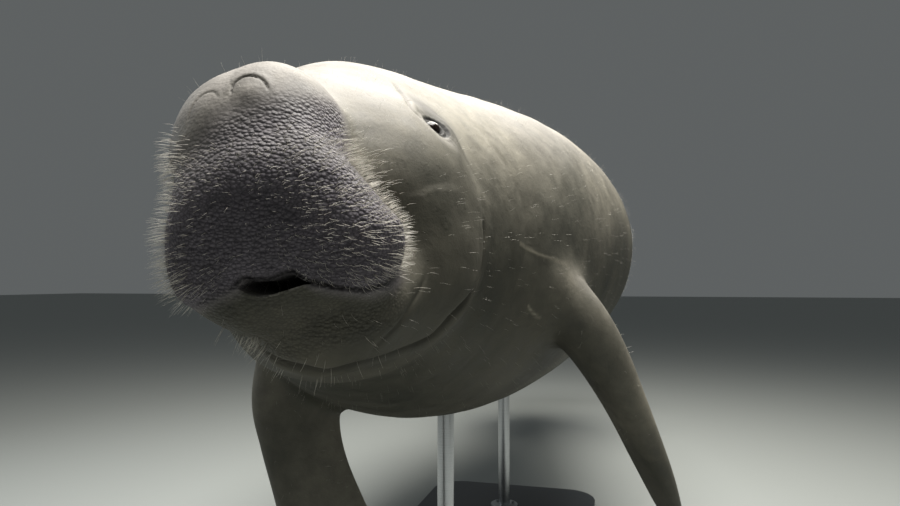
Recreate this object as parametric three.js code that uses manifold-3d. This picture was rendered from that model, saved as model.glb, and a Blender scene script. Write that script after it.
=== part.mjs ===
// A Florida manatee, life size and still, held up on a plain display stand.
// Millimetres, +Z up. The animal faces -Y, its left side is +X, and the floor is Z = 0.
//
// The body is one smooth field of named forms, given in the animal's own straight frame:
// y runs from the snout (0) to the tip of the tail, z is measured from the body's axis, and x from the
// middle plane. Each node is a stretch of that field, closed flat where it meets the next.
// The pose then turns the head, rolls the body to its right and lifts it over the stand.

import * as THREE from "three";
import { mergeVertices } from "three/addons/utils/BufferGeometryUtils.js";
import Module from "manifold-3d";

const wasm = await Module();
wasm.setup();

// Driving sizes
const BODY_LENGTH = 2900;
const AXIS_HEIGHT = 770;      // body axis over the floor
const BALANCE_Y = 1180;       // station of the body that stands over the middle of the base
const BODY_ROLL = 14;         // degrees, left side up
const HEAD_YAW = 8;           // degrees, towards the animal's left
const HEAD_PITCH = 3;         // degrees, snout down
const HEAD_ROLL = 5;          // degrees more than the body
const NECK_BEND = [300, 470]; // stations between which the head's turn fades out
const TAIL_DROOP = 70;        // how far the tip of the tail hangs below the axis
const GAP = 0.3;              // between nodes that touch

// Cross-sections of the trunk: station, half width, height over the axis, depth under it
const SECTIONS = [
  [120, 30, 60, 40],
  [160, 104, 145, 84],
  [210, 136, 184, 132],
  [300, 180, 230, 190],
  [400, 228, 240, 236],
  [500, 268, 248, 268],
  [700, 324, 276, 302],
  [950, 362, 306, 314],
  [1250, 380, 320, 314],
  [1550, 364, 314, 300],
  [1850, 308, 268, 252],
  [2100, 238, 198, 196],
  [2250, 196, 146, 149],
  [2340, 186, 110, 113],
  [2420, 214, 81, 84],
  [2520, 264, 56, 58],
  [2620, 299, 40, 42],
  [2720, 300, 30, 31],
  [2800, 262, 23, 24],
  [2860, 184, 17, 18],
  [2890, 98, 12, 12],
  [BODY_LENGTH, 8, 5, 5],
];

// Where the body is parted
const SNOUT_CUT = 172;
const HEAD_CUT = 325;
const NECK_CUT = 440;
const CHEST_CUT = 1060;
const BELLY_CUT = 1760;
const PADDLE_CUT = 2330;

// Forms of the head, mirrored in x = 0 but for the pad's lean to its right
const SNOUT = { at: [0, 154, 56], half: [78, 106, 84], round: 60 };
const DISC = {
  at: [0, 50, 6],
  half: [98, 32, 88],
  round: 31,
  lean: 0.12,                                              // wider by this share on its right
  narrowing: { from: -34, above: 0.003, below: 0.0065 },   // per millimetre of height
  slope: { from: 26, above: 0.0052, below: 0.2 },          // backwards, curved above and straight below
};
const FRONT = { at: [0, 58, 30], r: [88, 56, 94] };
const LIP_PAD = { at: [46, 60, -30], r: [50, 46, 56] };
const NOSE = { at: [0, 116, 90], r: [50, 64, 47] };
const NOSTRIL_BOSS = { at: [24, 86, 96], r: [32, 36, 34] };
const CHIN = { at: [0, 140, -90], r: [84, 84, 60] };
const CHEEK = { at: [96, 222, 24], r: [66, 92, 92] };
const JOWL = { at: [0, 238, -54], r: [150, 126, 116] };
const EYE_DENT = { at: [194, 222, 76], r: [38, 36, 28] };

const EYEBALL = { at: [149, 224, 76], radius: 12 };
const NOSTRIL = { at: [21, 46, 108], radius: 16, width: 2.4 };

// Line of the mouth from the front, x and z, with the right lip drawn up at its inner end
const LIP_LINE = [
  [-260, -34], [-128, -44], [-104, -62], [-84, -80], [-66, -81], [-52, -62], [-42, -42], [-34, -37],
  [-26, -43], [-14, -47], [0, -46], [7, -47], [16, -59], [35, -71], [55, -81], [70, -81], [82, -74],
  [94, -60], [128, -44], [260, -34],
];
// Where the mouth stands a little open: the lower edge of the gap, and how far back it goes
const MOUTH_GAP = { sill: [[14, -59], [4, -61], [-12, -61], [-27, -59], [-37, -53], [-43, -44]], back: 110 };

// Flippers: x, y, z of the middle, half the chord, half the thickness. The lead is the way to the
// leading edge.
const RIGHT_FLIPPER = {
  lead: [-0.87, -0.49, 0.1],
  stations: [
    [-160, 530, -90, 80, 52],
    [-190, 512, -150, 76, 48],
    [-205, 496, -205, 71, 40],
    [-209, 490, -262, 63, 33],
    [-206, 488, -320, 61, 27],
    [-200, 492, -385, 65, 23],
    [-195, 500, -450, 71, 19],
    [-193, 508, -510, 74, 16],
    [-192, 516, -560, 69, 13],
    [-192, 523, -598, 52, 10],
    [-192, 528, -622, 26, 7],
  ],
};
const LEFT_FLIPPER = {
  lead: [0.42, -0.9, 0],
  stations: [
    [180, 566, -90, 84, 54],
    [222, 580, -148, 80, 49],
    [248, 594, -201, 74, 42],
    [265, 612, -256, 66, 36],
    [278, 638, -322, 60, 29],
    [287, 668, -384, 58, 24],
    [294, 700, -444, 56, 20],
    [299, 728, -495, 50, 16],
    [302, 748, -532, 42, 13],
    [304, 762, -558, 31, 10],
    [305, 770, -574, 16, 7],
  ],
};
const NAIL = { half: [7, 3.4, 9.5], across: [-34, 0, 34] };

// Stand
const BASE = { length: 1150, width: 520, thickness: 32, corner: 90 };
const ROD = { radius: 17, collar: 40, collarHeight: 14, stations: [-330, 340] };

const mix = (a, b, t) => a + (b - a) * t;
const clamp01 = (t) => Math.min(1, Math.max(0, t));
const smooth = (t) => clamp01(t) ** 2 * (3 - 2 * clamp01(t));
const radians = (degrees) => (degrees * Math.PI) / 180;
const vec = (a) => new THREE.Vector3(...a);

// Smooth union of two distances, with a fillet about as wide as `fillet`
function blend(a, b, fillet) {
  const near = Math.max(fillet - Math.abs(a - b), 0) / fillet;
  return Math.min(a, b) - (near * near * fillet) / 4;
}

function ellipsoid([x, y, z], { at, r }) {
  const p = [(x - at[0]) / r[0], (y - at[1]) / r[1], (z - at[2]) / r[2]];
  const k0 = Math.hypot(...p);
  const k1 = Math.hypot(p[0] / r[0], p[1] / r[1], p[2] / r[2]);
  return k1 === 0 ? -Math.min(...r) : (k0 * (k0 - 1)) / k1;
}

function roundedBox([x, y, z], { at, half, round }) {
  const q = [x - at[0], y - at[1], z - at[2]].map((v, i) => Math.abs(v) - half[i] + round);
  const outside = Math.hypot(...q.map((v) => Math.max(v, 0)));
  return outside + Math.min(Math.max(...q), 0) - round;
}

// Smooth value of a column of a table of sections at station y
function sectionValue(y, column) {
  const last = SECTIONS.length - 1;
  let i = 0;
  while (i < last - 1 && y > SECTIONS[i + 1][0]) i++;
  const at = (k) => SECTIONS[Math.min(Math.max(k, 0), last)];
  const [p0, p1, p2, p3] = [at(i - 1), at(i), at(i + 1), at(i + 2)];
  const span = p2[0] - p1[0];
  const t = clamp01((y - p1[0]) / span);
  const slope1 = p2[0] === p0[0] ? 0 : ((p2[column] - p0[column]) / (p2[0] - p0[0])) * span;
  const slope2 = p3[0] === p1[0] ? 0 : ((p3[column] - p1[column]) / (p3[0] - p1[0])) * span;
  return (
    (2 * t ** 3 - 3 * t ** 2 + 1) * p1[column] +
    (t ** 3 - 2 * t ** 2 + t) * slope1 +
    (3 * t ** 2 - 2 * t ** 3) * p2[column] +
    (t ** 3 - t ** 2) * slope2
  );
}

function trunk([x, y, z]) {
  const width = sectionValue(y, 1);
  const height = sectionValue(y, z > 0 ? 2 : 3);
  const around = (Math.hypot(x / width, z / height) - 1) * Math.min(width, height);
  return y < SECTIONS[0][0] ? Math.max(around, SECTIONS[0][0] - y) : around;
}

// Distance to the skin, negative inside
function body(point) {
  const lean = DISC.lean * (1 - smooth((point[1] - 110) / 140)) * smooth((point[2] + 70) / 80);
  const p = [Math.abs(point[0]) * (1 + lean * Math.sign(point[0])), point[1], point[2]];
  let d = trunk(p);
  if (p[1] > 520) return d;
  d = blend(d, roundedBox(p, SNOUT), 70);
  d = blend(d, ellipsoid(p, CHEEK), 50);
  d = blend(d, ellipsoid(p, JOWL), 22);
  d = blend(d, ellipsoid(p, CHIN), 34);
  d = blend(d, muzzleForm(p), mix(16, 60, smooth((p[2] - 40) / 60)));
  d = blend(d, ellipsoid(p, NOSE), 50);
  d = blend(d, ellipsoid(p, NOSTRIL_BOSS), 44);
  return -blend(-d, ellipsoid(p, EYE_DENT), 14);
}

// The broad pad over the mouth: it narrows and slopes back, upwards and downwards
function muzzleForm(p) {
  const { narrowing, slope } = DISC;
  const wide = p[2] - narrowing.from;
  const taper = 1 - narrowing.above * Math.max(wide, 0) - narrowing.below * Math.max(-wide, 0);
  const rise = p[2] - slope.from;
  const y = p[1] - slope.below * Math.max(-rise, 0) - slope.above * Math.max(rise, 0) ** 2;
  const tapered = [p[0] / taper, y, p[2]];
  const pad = blend(roundedBox(tapered, DISC), ellipsoid(tapered, FRONT), 40);
  return blend(pad, ellipsoid([p[0], y, p[2]], LIP_PAD), 40);
}

function skinNormal(point) {
  const slope = [0, 1, 2].map((i) => {
    const ahead = [...point];
    const behind = [...point];
    ahead[i] += 0.5;
    behind[i] -= 0.5;
    return body(ahead) - body(behind);
  });
  return vec(slope).normalize();
}

// The last point of the skin, grown by `grow`, on a ray that starts inside
function castRay(from, along, reach, grow = 0) {
  const at = (t) => [0, 1, 2].map((i) => from[i] + along[i] * t);
  const steps = 60;
  let near = 0;
  let far = reach;
  for (let i = 1; i <= steps; i++) {
    const t = (reach * i) / steps;
    if (body(at(t)) > grow) {
      far = t;
      break;
    }
    near = t;
  }
  for (let i = 0; i < 18; i++) {
    const middle = (near + far) / 2;
    if (body(at(middle)) > grow) far = middle;
    else near = middle;
  }
  return at((near + far) / 2);
}

const HEAD_FOCUS = [0, 150, 10]; // the snout's rays fan out from here

// A ring of skin points at station y, or, with a fan below 90 degrees, on a cone round the snout
function ring(y, sides, fan = 90, grow = 0) {
  const flat = y > 1900;
  const rx = flat ? sectionValue(y, 1) : 1;
  const rz = flat ? (sectionValue(y, 2) + sectionValue(y, 3)) / 2 : 1;
  const centre = [0, y, mix(HEAD_FOCUS[2], 0, smooth((y - HEAD_FOCUS[1]) / 250))];
  return Array.from({ length: sides }, (_, i) => {
    const turn = (2 * Math.PI * i) / sides;
    const side = new THREE.Vector2(Math.cos(turn) * rx, Math.sin(turn) * rz).normalize();
    const out = Math.sin(radians(fan));
    return castRay(centre, [side.x * out, -Math.cos(radians(fan)), side.y * out], 520, grow);
  });
}

// Pose of a point of the straight frame
function pose([x, y, z]) {
  const turn = 1 - smooth((y - NECK_BEND[0]) / (NECK_BEND[1] - NECK_BEND[0]));
  const pivot = new THREE.Vector3(0, NECK_BEND[1], 0);
  const p = new THREE.Vector3(x, y, z).sub(pivot);
  p.applyAxisAngle(new THREE.Vector3(0, 1, 0), radians(-HEAD_ROLL * turn));
  p.applyAxisAngle(new THREE.Vector3(1, 0, 0), radians(HEAD_PITCH * turn));
  p.applyAxisAngle(new THREE.Vector3(0, 0, 1), radians(HEAD_YAW * turn));
  p.add(pivot);
  p.z -= TAIL_DROOP * clamp01((y - 1300) / (BODY_LENGTH - 1300)) ** 2;
  p.applyAxisAngle(new THREE.Vector3(0, 1, 0), radians(-BODY_ROLL));
  return [p.x, p.y - BALANCE_Y, p.z + AXIS_HEIGHT];
}

const unposed = (point) => point;

function solid(vertices, faces, place = pose) {
  return new wasm.Manifold(
    new wasm.Mesh({
      numProp: 3,
      vertProperties: new Float32Array(vertices.map(place).flat()),
      triVerts: new Uint32Array(faces.flat()),
    }),
  );
}

// A closed solid through rings of points that run away from the viewer clockwise
function loft(rings, { start, end, place } = {}) {
  const sides = rings[0].length;
  const vertices = rings.flat();
  const faces = [];
  rings.slice(1).forEach((_, k) => {
    for (let i = 0; i < sides; i++) {
      const a = k * sides + i;
      const b = k * sides + ((i + 1) % sides);
      faces.push([a, b + sides, b], [a, a + sides, b + sides]);
    }
  });
  const middle = (points) => [0, 1, 2].map((i) => points.reduce((s, p) => s + p[i], 0) / points.length);
  const first = vertices.push(start ?? middle(rings[0])) - 1;
  const final = vertices.push(end ?? middle(rings.at(-1))) - 1;
  const last = (rings.length - 1) * sides;
  for (let i = 0; i < sides; i++) {
    const next = (i + 1) % sides;
    faces.push([first, i, next], [final, last + next, last + i]);
  }
  return solid(vertices, faces, place);
}

// A geometry as a solid, each vertex set in its place
function fromGeometry(source, place = pose) {
  const geometry = source.clone();
  geometry.deleteAttribute("normal");
  geometry.deleteAttribute("uv");
  const merged = mergeVertices(geometry, 1e-4);
  const { array } = merged.getAttribute("position");
  const vertices = Array.from({ length: array.length / 3 }, (_, i) => [...array.slice(3 * i, 3 * i + 3)]);
  const index = [...merged.getIndex().array];
  const faces = Array.from({ length: index.length / 3 }, (_, i) => index.slice(3 * i, 3 * i + 3));
  return solid(vertices, faces, place);
}

// A prism along y with a profile in x and z
function prism(profile, from, to) {
  const shape = new THREE.Shape(profile.map(([x, z]) => new THREE.Vector2(x, z)));
  const geometry = new THREE.ExtrudeGeometry(shape, { depth: to - from, bevelEnabled: false });
  return fromGeometry(geometry.rotateX(Math.PI / 2).translate(0, to, 0));
}

// A tube along a path, pointed at its ends
function tube(path, radius, sides = 6) {
  const points = path.map(vec);
  const rings = points.map((point, k) => {
    const along = points[Math.min(k + 1, points.length - 1)].clone();
    along.sub(points[Math.max(k - 1, 0)]).normalize();
    const side = new THREE.Vector3(0.3, 0.2, 1).cross(along).normalize();
    const up = along.clone().cross(side);
    const size = radius * (k === 0 || k === points.length - 1 ? 0.25 : 1);
    return Array.from({ length: sides }, (_, i) => {
      const turn = (-2 * Math.PI * i) / sides;
      const p = point.clone().addScaledVector(side, Math.cos(turn) * size);
      return p.addScaledVector(up, Math.sin(turn) * size).toArray();
    });
  });
  return loft(rings);
}

// The point of the skin over a point inside it, in the direction `out`
const onSkin = (from, out, reach = 120) => castRay(from, vec(out).normalize().toArray(), reach);

const stations = (from, to, count) =>
  Array.from({ length: count + 1 }, (_, i) => mix(from, to, i / count));
const trunkPiece = (from, to, count, sides, grow = 0) =>
  loft(stations(from + GAP / 2 - grow, to - GAP / 2 + grow, count).map((y) => ring(y, sides, 90, grow)));
const largest = (manifold) =>
  manifold.decompose().reduce((a, b) => (a.volume() > b.volume() ? a : b));

const model = new THREE.Group();

function add(name, manifold, { color, roughness = 0.6, metalness = 0 }) {
  const mesh = largest(manifold).getMesh();
  const vertices = new Float32Array(mesh.numVert * 3);
  for (let i = 0; i < mesh.numVert; i++) {
    for (let k = 0; k < 3; k++) vertices[3 * i + k] = mesh.vertProperties[i * mesh.numProp + k];
  }
  const geometry = new THREE.BufferGeometry()
    .setAttribute("position", new THREE.BufferAttribute(vertices, 3))
    .setIndex(new THREE.BufferAttribute(mesh.triVerts, 1));
  const part = new THREE.Mesh(geometry, new THREE.MeshStandardMaterial({ color, roughness, metalness }));
  part.name = name;
  model.add(part);
}

const SKIN = { color: "#6f6c67", roughness: 0.55 };
const EYE = { color: "#17120f", roughness: 0.08 };
const NAIL_HORN = { color: "#b9ad95", roughness: 0.45 };
const LACQUER = { color: "#2e3134", roughness: 0.35 };
const STEEL = { color: "#b4b7ba", roughness: 0.28, metalness: 1 };

// Head, before it is parted
const HEAD_SIDES = 56;
let headFront = loft(
  [
    ...stations(6, 90, 20).map((fan) => ring(HEAD_FOCUS[1], HEAD_SIDES, fan)),
    ...stations(HEAD_FOCUS[1] + 10, HEAD_CUT - GAP / 2, 11).map((y) => ring(y, HEAD_SIDES)),
  ],
  { start: castRay(HEAD_FOCUS, [0, -1, 0], 300) },
);

// Eyes: an almond opening in a rim of lids, the ball behind it
function eye(name, side) {
  const centre = [EYEBALL.at[0] * side, EYEBALL.at[1], EYEBALL.at[2]];
  const out = skinNormal(onSkin(centre.map((v, i) => (i === 0 ? v * 0.7 : v)), [side, 0, 0]));
  const skin = vec(onSkin(centre.map((v, i) => (i === 0 ? v * 0.7 : v)), [side, 0, 0]));
  const ballCentre = skin.clone().addScaledVector(out, -EYEBALL.radius + 1.5);
  const along = new THREE.Vector3(0, 1, -0.35).projectOnPlane(out).normalize();
  const up = out.clone().cross(along).normalize();
  if (up.z < 0) up.negate();
  const rim = Array.from({ length: 17 }, (_, i) => {
    const turn = (2 * Math.PI * i) / 16;
    return skin
      .clone()
      .addScaledVector(along, Math.cos(turn) * 13)
      .addScaledVector(up, Math.sin(turn) * 8.5)
      .addScaledVector(out, 0.6 - 1.6 * Math.abs(Math.cos(turn)))
      .toArray();
  });
  const basis = new THREE.Matrix4().makeBasis(up.clone().cross(out), up, out);
  const almond = new THREE.IcosahedronGeometry(1, 2).scale(11, 6, 14).applyMatrix4(basis);
  almond.translate(...skin.clone().addScaledVector(out, 2));
  const ball = new THREE.IcosahedronGeometry(EYEBALL.radius, 3).translate(...ballCentre);
  const socket = new THREE.IcosahedronGeometry(EYEBALL.radius + GAP, 3).translate(...ballCentre);
  headFront = headFront.add(tube(rim, 3.2)).subtract(fromGeometry(almond)).subtract(fromGeometry(socket));
  add(name, fromGeometry(ball), EYE);
}
eye("left_eye", 1);
eye("right_eye", -1);

// Nostrils: a crescent groove over a valve that bulges
function nostril(side) {
  const centre = [NOSTRIL.at[0] * side, NOSTRIL.at[1], NOSTRIL.at[2]];
  const skin = vec(onSkin(HEAD_FOCUS, centre.map((v, i) => v - HEAD_FOCUS[i]), 300));
  const out = skinNormal(skin.toArray());
  const across = new THREE.Vector3(1, 0, 0).projectOnPlane(out).normalize();
  const up = out.clone().cross(across).normalize();
  if (up.z < 0) up.negate();
  const path = stations(-78, 78, 12).map((angle) => {
    const p = skin.clone().addScaledVector(across, Math.sin(radians(angle)) * NOSTRIL.radius);
    p.addScaledVector(up, (Math.cos(radians(angle)) - 0.5) * NOSTRIL.radius * 0.8);
    const along = p.clone().sub(vec(HEAD_FOCUS)).normalize().toArray();
    return castRay(HEAD_FOCUS, along, 300);
  });
  return tube(path, NOSTRIL.width);
}
headFront = headFront.subtract(nostril(1)).subtract(nostril(-1));

// The snout comes off the head, and the line of the mouth parts it
const front = [-60, SNOUT_CUT - GAP / 2];
const lifted = (by) => LIP_LINE.map(([x, z]) => [x, z + by]);
const below = prism([[-260, -400], [260, -400], ...lifted(-GAP / 2).reverse()], ...front);
const above = prism([...lifted(GAP / 2), [260, 400], [-260, 400]], ...front);
const behind = prism([[-400, -400], [400, -400], [400, 400], [-400, 400]], SNOUT_CUT + GAP / 2, 500);
const lid = LIP_LINE.filter(([x]) => x >= -43 && x <= 14).map(([x, z]) => [x, z + 6]);
const opening = prism([...lid, ...MOUTH_GAP.sill], -60, MOUTH_GAP.back);
let muzzle = headFront.intersect(above);
let lowerJaw = headFront.intersect(below).subtract(opening);
const head = headFront.intersect(behind);

// Bristles: seeded, stiff and pointed, their roots sunk in the skin
function random(seed) {
  let state = seed;
  return () => {
    state = (state * 1664525 + 1013904223) % 4294967296;
    return state / 4294967296;
  };
}

function bristle(root, direction, length) {
  const axis = direction.clone().normalize();
  const side = new THREE.Vector3(0.2, 0.4, 1).cross(axis).normalize();
  const up = axis.clone().cross(side);
  const ringAt = (t, radius) =>
    Array.from({ length: 4 }, (_, i) => {
      const turn = (-2 * Math.PI * i) / 4;
      const p = root.clone().addScaledVector(axis, length * t);
      p.addScaledVector(side, Math.cos(turn) * radius).addScaledVector(up, Math.sin(turn) * radius);
      return p.toArray();
    });
  return loft([ringAt(-0.3, 1), ringAt(1, 0.3)]);
}

function bristles(count, seed, neighbours, place) {
  const next = random(seed);
  const found = [];
  while (found.length < count) {
    const target = place(next);
    if (!target) continue;
    const along = vec(target).sub(vec(HEAD_FOCUS)).normalize().toArray();
    const root = vec(castRay(HEAD_FOCUS, along, 300));
    const out = skinNormal(root.toArray());
    const lean = new THREE.Vector3(Math.sign(root.x) * 0.25, 0.1, -0.3 + 0.3 * (next() - 0.5));
    const one = bristle(root, out.add(lean), 14 + 10 * next());
    if (neighbours.every((neighbour) => neighbour.intersect(one).isEmpty())) found.push(one);
  }
  return found.reduce((a, b) => a.add(b));
}

muzzle = muzzle.add(
  bristles(84, 7, [lowerJaw, head], (next) => {
    const x = (next() * 2 - 1) * 130;
    const z = -84 + next() * 180;
    const y = 10 + next() * 90;
    return z < -40 - 30 * (Math.abs(x) < 90) || Math.hypot(x, z) < 20 ? null : [x, y, z];
  }),
);
lowerJaw = lowerJaw.add(
  bristles(26, 11, [muzzle, head], (next) => {
    const x = (next() < 0.5 ? -1 : 1) * (45 + next() * 55);
    return [x, 70 + next() * 40, -105 - next() * 30];
  }),
);

add("muzzle", muzzle, SKIN);
add("lower_jaw", lowerJaw, SKIN);
add("head", head, SKIN);
add("neck", trunkPiece(HEAD_CUT, NECK_CUT, 5, 48), SKIN);
add("chest", trunkPiece(NECK_CUT, CHEST_CUT, 10, 40), SKIN);
add("belly", trunkPiece(CHEST_CUT, BELLY_CUT, 9, 40), SKIN);
add("tail_stock", trunkPiece(BELLY_CUT, PADDLE_CUT, 8, 40), SKIN);
const paddleRings = stations(0, 90, 12).map((angle) =>
  ring(PADDLE_CUT + GAP / 2 + Math.sin(radians(angle)) * (BODY_LENGTH - PADDLE_CUT - 2), 40),
);
add("tail_paddle", loft(paddleRings), SKIN);

// Flippers: flat blades, cut off against the chest, with three nails each at the tip
const chestGrown = trunkPiece(HEAD_CUT + 20, CHEST_CUT, 14, 40, GAP);

const FLIPPER_SIDES = 20;

function flipper(side, { lead, stations: rows }) {
  const middles = rows.map((row) => vec(row.slice(0, 3)));
  const frames = middles.map((middle, k) => {
    const along = middles[Math.min(k + 1, rows.length - 1)].clone();
    along.sub(middles[Math.max(k - 1, 0)]).normalize();
    const chord = vec(lead).projectOnPlane(along).normalize();
    return { middle, along, chord, flat: along.clone().cross(chord) };
  });
  const rings = frames.map(({ middle, chord, flat }, k) =>
    Array.from({ length: FLIPPER_SIDES }, (_, i) => {
      const turn = (-2 * Math.PI * i) / FLIPPER_SIDES;
      const p = middle.clone().addScaledVector(chord, Math.cos(turn) * rows[k][3]);
      return p.addScaledVector(flat, Math.sin(turn) * rows[k][4]).toArray();
    }),
  );
  const tip = frames.at(-1).middle.clone().addScaledVector(frames.at(-1).along, 9).toArray();
  let blade = loft(rings, { end: tip }).subtract(chestGrown);
  const { middle, along, chord, flat } = frames.at(-3);
  const outer = flat.x * side > 0 ? flat : flat.clone().negate();
  const basis = new THREE.Matrix4().makeBasis(outer.clone().cross(along), outer, along);
  NAIL.across.forEach((across, k) => {
    const reach = 26 - 0.012 * across * across;
    const at = middle.clone().addScaledVector(chord, across).addScaledVector(along, reach);
    at.addScaledVector(outer, rows.at(-3)[4] * 0.78);
    const shape = (grow) =>
      new THREE.IcosahedronGeometry(1, 1)
        .scale(...NAIL.half.map((v) => v + grow))
        .applyMatrix4(basis)
        .translate(...at);
    blade = blade.subtract(fromGeometry(shape(GAP)));
    add(`${side > 0 ? "left" : "right"}_nail_${k + 1}`, fromGeometry(shape(0)), NAIL_HORN);
  });
  add(side > 0 ? "left_flipper" : "right_flipper", blade, SKIN);
}
flipper(1, LEFT_FLIPPER);
flipper(-1, RIGHT_FLIPPER);

// Stand: a flat base and two rods up to the belly
const slab = new THREE.Shape();
const [halfX, halfY] = [BASE.width / 2, BASE.length / 2];
slab.moveTo(-halfX + BASE.corner, -halfY);
slab.lineTo(halfX - BASE.corner, -halfY);
slab.absarc(halfX - BASE.corner, -halfY + BASE.corner, BASE.corner, -Math.PI / 2, 0);
slab.absarc(halfX - BASE.corner, halfY - BASE.corner, BASE.corner, 0, Math.PI / 2);
slab.absarc(-halfX + BASE.corner, halfY - BASE.corner, BASE.corner, Math.PI / 2, Math.PI);
slab.absarc(-halfX + BASE.corner, -halfY + BASE.corner, BASE.corner, Math.PI, 1.5 * Math.PI);
const slabGeometry = new THREE.ExtrudeGeometry(slab, {
  depth: BASE.thickness,
  bevelEnabled: false,
  curveSegments: 8,
});
add("stand_base", fromGeometry(slabGeometry, unposed), LACQUER);

const bellyGrown = [
  trunkPiece(NECK_CUT, CHEST_CUT, 10, 40, GAP),
  trunkPiece(CHEST_CUT, BELLY_CUT, 9, 40, GAP),
];
const upright = (radius, from, to, y) =>
  fromGeometry(
    new THREE.CylinderGeometry(radius, radius, to - from, 24).rotateX(Math.PI / 2).translate(0, y, (from + to) / 2),
    unposed,
  );
["front", "rear"].forEach((name, i) => {
  const y = ROD.stations[i];
  const floor = BASE.thickness + GAP;
  let rod = upright(ROD.radius, floor, AXIS_HEIGHT, y);
  rod = rod.add(upright(ROD.collar, floor, floor + ROD.collarHeight, y));
  bellyGrown.forEach((grown) => {
    rod = rod.subtract(grown);
  });
  add(`stand_rod_${name}`, rod, STEEL);
});

export default model;
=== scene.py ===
"""A life-size Florida manatee on a display stand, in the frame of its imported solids.

The body is made in the animal's own straight frame, in millimetres: y from the snout to the tip
of the tail, z up from the body's axis, x to its left. The pose then turns the head, rolls the
body and lifts it over the stand, in metres.
"""

import math

import bpy
import numpy as np
from bpy.props import FloatProperty, FloatVectorProperty, IntProperty, StringProperty, PointerProperty
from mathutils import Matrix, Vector
from mathutils.kdtree import KDTree


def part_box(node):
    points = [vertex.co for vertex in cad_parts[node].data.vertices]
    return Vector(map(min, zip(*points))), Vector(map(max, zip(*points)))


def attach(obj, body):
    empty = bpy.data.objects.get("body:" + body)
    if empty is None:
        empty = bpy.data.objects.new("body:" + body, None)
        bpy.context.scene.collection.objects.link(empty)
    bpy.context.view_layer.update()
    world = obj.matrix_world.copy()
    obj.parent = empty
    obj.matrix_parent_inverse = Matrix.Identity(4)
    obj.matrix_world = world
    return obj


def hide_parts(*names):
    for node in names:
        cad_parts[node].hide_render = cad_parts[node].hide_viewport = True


bl_info = {
    "name": "Manatee on a stand",
    "version": (1, 0, 0),
    "blender": (4, 5, 0),
    "location": "3D View > Sidebar > Manatee",
    "description": "Models a life-size Florida manatee on its display stand",
    "category": "Add Mesh",
}

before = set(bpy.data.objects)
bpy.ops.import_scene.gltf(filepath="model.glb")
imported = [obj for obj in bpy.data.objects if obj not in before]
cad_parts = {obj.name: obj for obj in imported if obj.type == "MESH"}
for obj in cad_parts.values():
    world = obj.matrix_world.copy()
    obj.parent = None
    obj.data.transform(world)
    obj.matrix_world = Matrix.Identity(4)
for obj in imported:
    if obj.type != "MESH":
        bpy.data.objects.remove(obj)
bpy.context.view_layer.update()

# The same named sizes as the solids, in millimetres and degrees
BODY_LENGTH = 2900
AXIS_HEIGHT = 770
BALANCE_Y = 1180
BODY_ROLL = 14
HEAD_YAW = 8
HEAD_PITCH = 3
HEAD_ROLL = 5
NECK_BEND = (300, 470)
TAIL_DROOP = 70

SECTIONS = np.array([
    [120, 30, 60, 40], [160, 104, 145, 84], [210, 136, 184, 132], [300, 180, 230, 190],
    [400, 228, 240, 236], [500, 268, 248, 268], [700, 324, 276, 302], [950, 362, 306, 314],
    [1250, 380, 320, 314], [1550, 364, 314, 300], [1850, 308, 268, 252], [2100, 238, 198, 196],
    [2250, 196, 146, 149], [2340, 186, 110, 113], [2420, 214, 81, 84], [2520, 264, 56, 58],
    [2620, 299, 40, 42], [2720, 300, 30, 31], [2800, 262, 23, 24], [2860, 184, 17, 18],
    [2890, 98, 12, 12], [BODY_LENGTH, 8, 5, 5],
], float)

SNOUT = ((0, 154, 56), (78, 106, 84), 60)
DISC = ((0, 50, 6), (98, 32, 88), 31)
DISC_LEAN = 0.12          # the pad is flexed a little wider on its right
DISC_NARROWING = (0.0030, 0.0065, -34)   # upwards and downwards from this height
DISC_SLOPE = (0.2, 0.0052, 26)           # back below and above this height
FRONT = ((0, 58, 30), (88, 56, 94))
LIP_PAD = ((46, 60, -30), (50, 46, 56))
NOSE = ((0, 116, 90), (50, 64, 47))
NOSTRIL_BOSS = ((24, 86, 96), (32, 36, 34))
CHIN = ((0, 140, -90), (84, 84, 60))
CHEEK = ((96, 222, 24), (66, 92, 92))
JOWL = ((0, 238, -54), (150, 126, 116))
EYE_DENT = ((194, 222, 76), (38, 36, 28))
EYEBALL_AT = (149, 224, 76)
EYEBALL_RADIUS = 12
EYEBALL_STANDS = 2.5      # how far it stands out of the smooth form
NOSTRIL_AT = (21, 46, 108)
NOSTRIL_SHIFT = -5        # both lie a little to its right, as the pad leans
HEAD_FOCUS = (0, 150, 10)

LIP_LINE = np.array([
    [-260, -34], [-128, -42], [-104, -44], [-84, -45], [-66, -44], [-52, -43], [-42, -42],
    [-34, -37], [-26, -43], [-14, -47], [0, -46], [7, -47], [16, -59], [35, -71], [55, -81],
    [70, -81], [82, -74], [94, -60], [128, -44], [260, -34],
], float)
MOUTH_SILL = [(22, -64.5), (14, -62.5), (4, -62), (-12, -61.5), (-27, -59), (-37, -53), (-43, -44)]
MOUTH_BACK = 110
MOUTH_CORNER = (20, -61)   # where the gap narrows into the seam, with painted shade inside

SNOUT_CROWN = ((-6, 92, 136), (62, 80, 42), 8.0)    # centre, reach and height
EYE_OPENING = (10.5, 8.5)
NECK_RINGS = ((338, 0.7), (392, 0.9), (452, 0.8), (520, 0.7), (604, 0.6))

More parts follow.
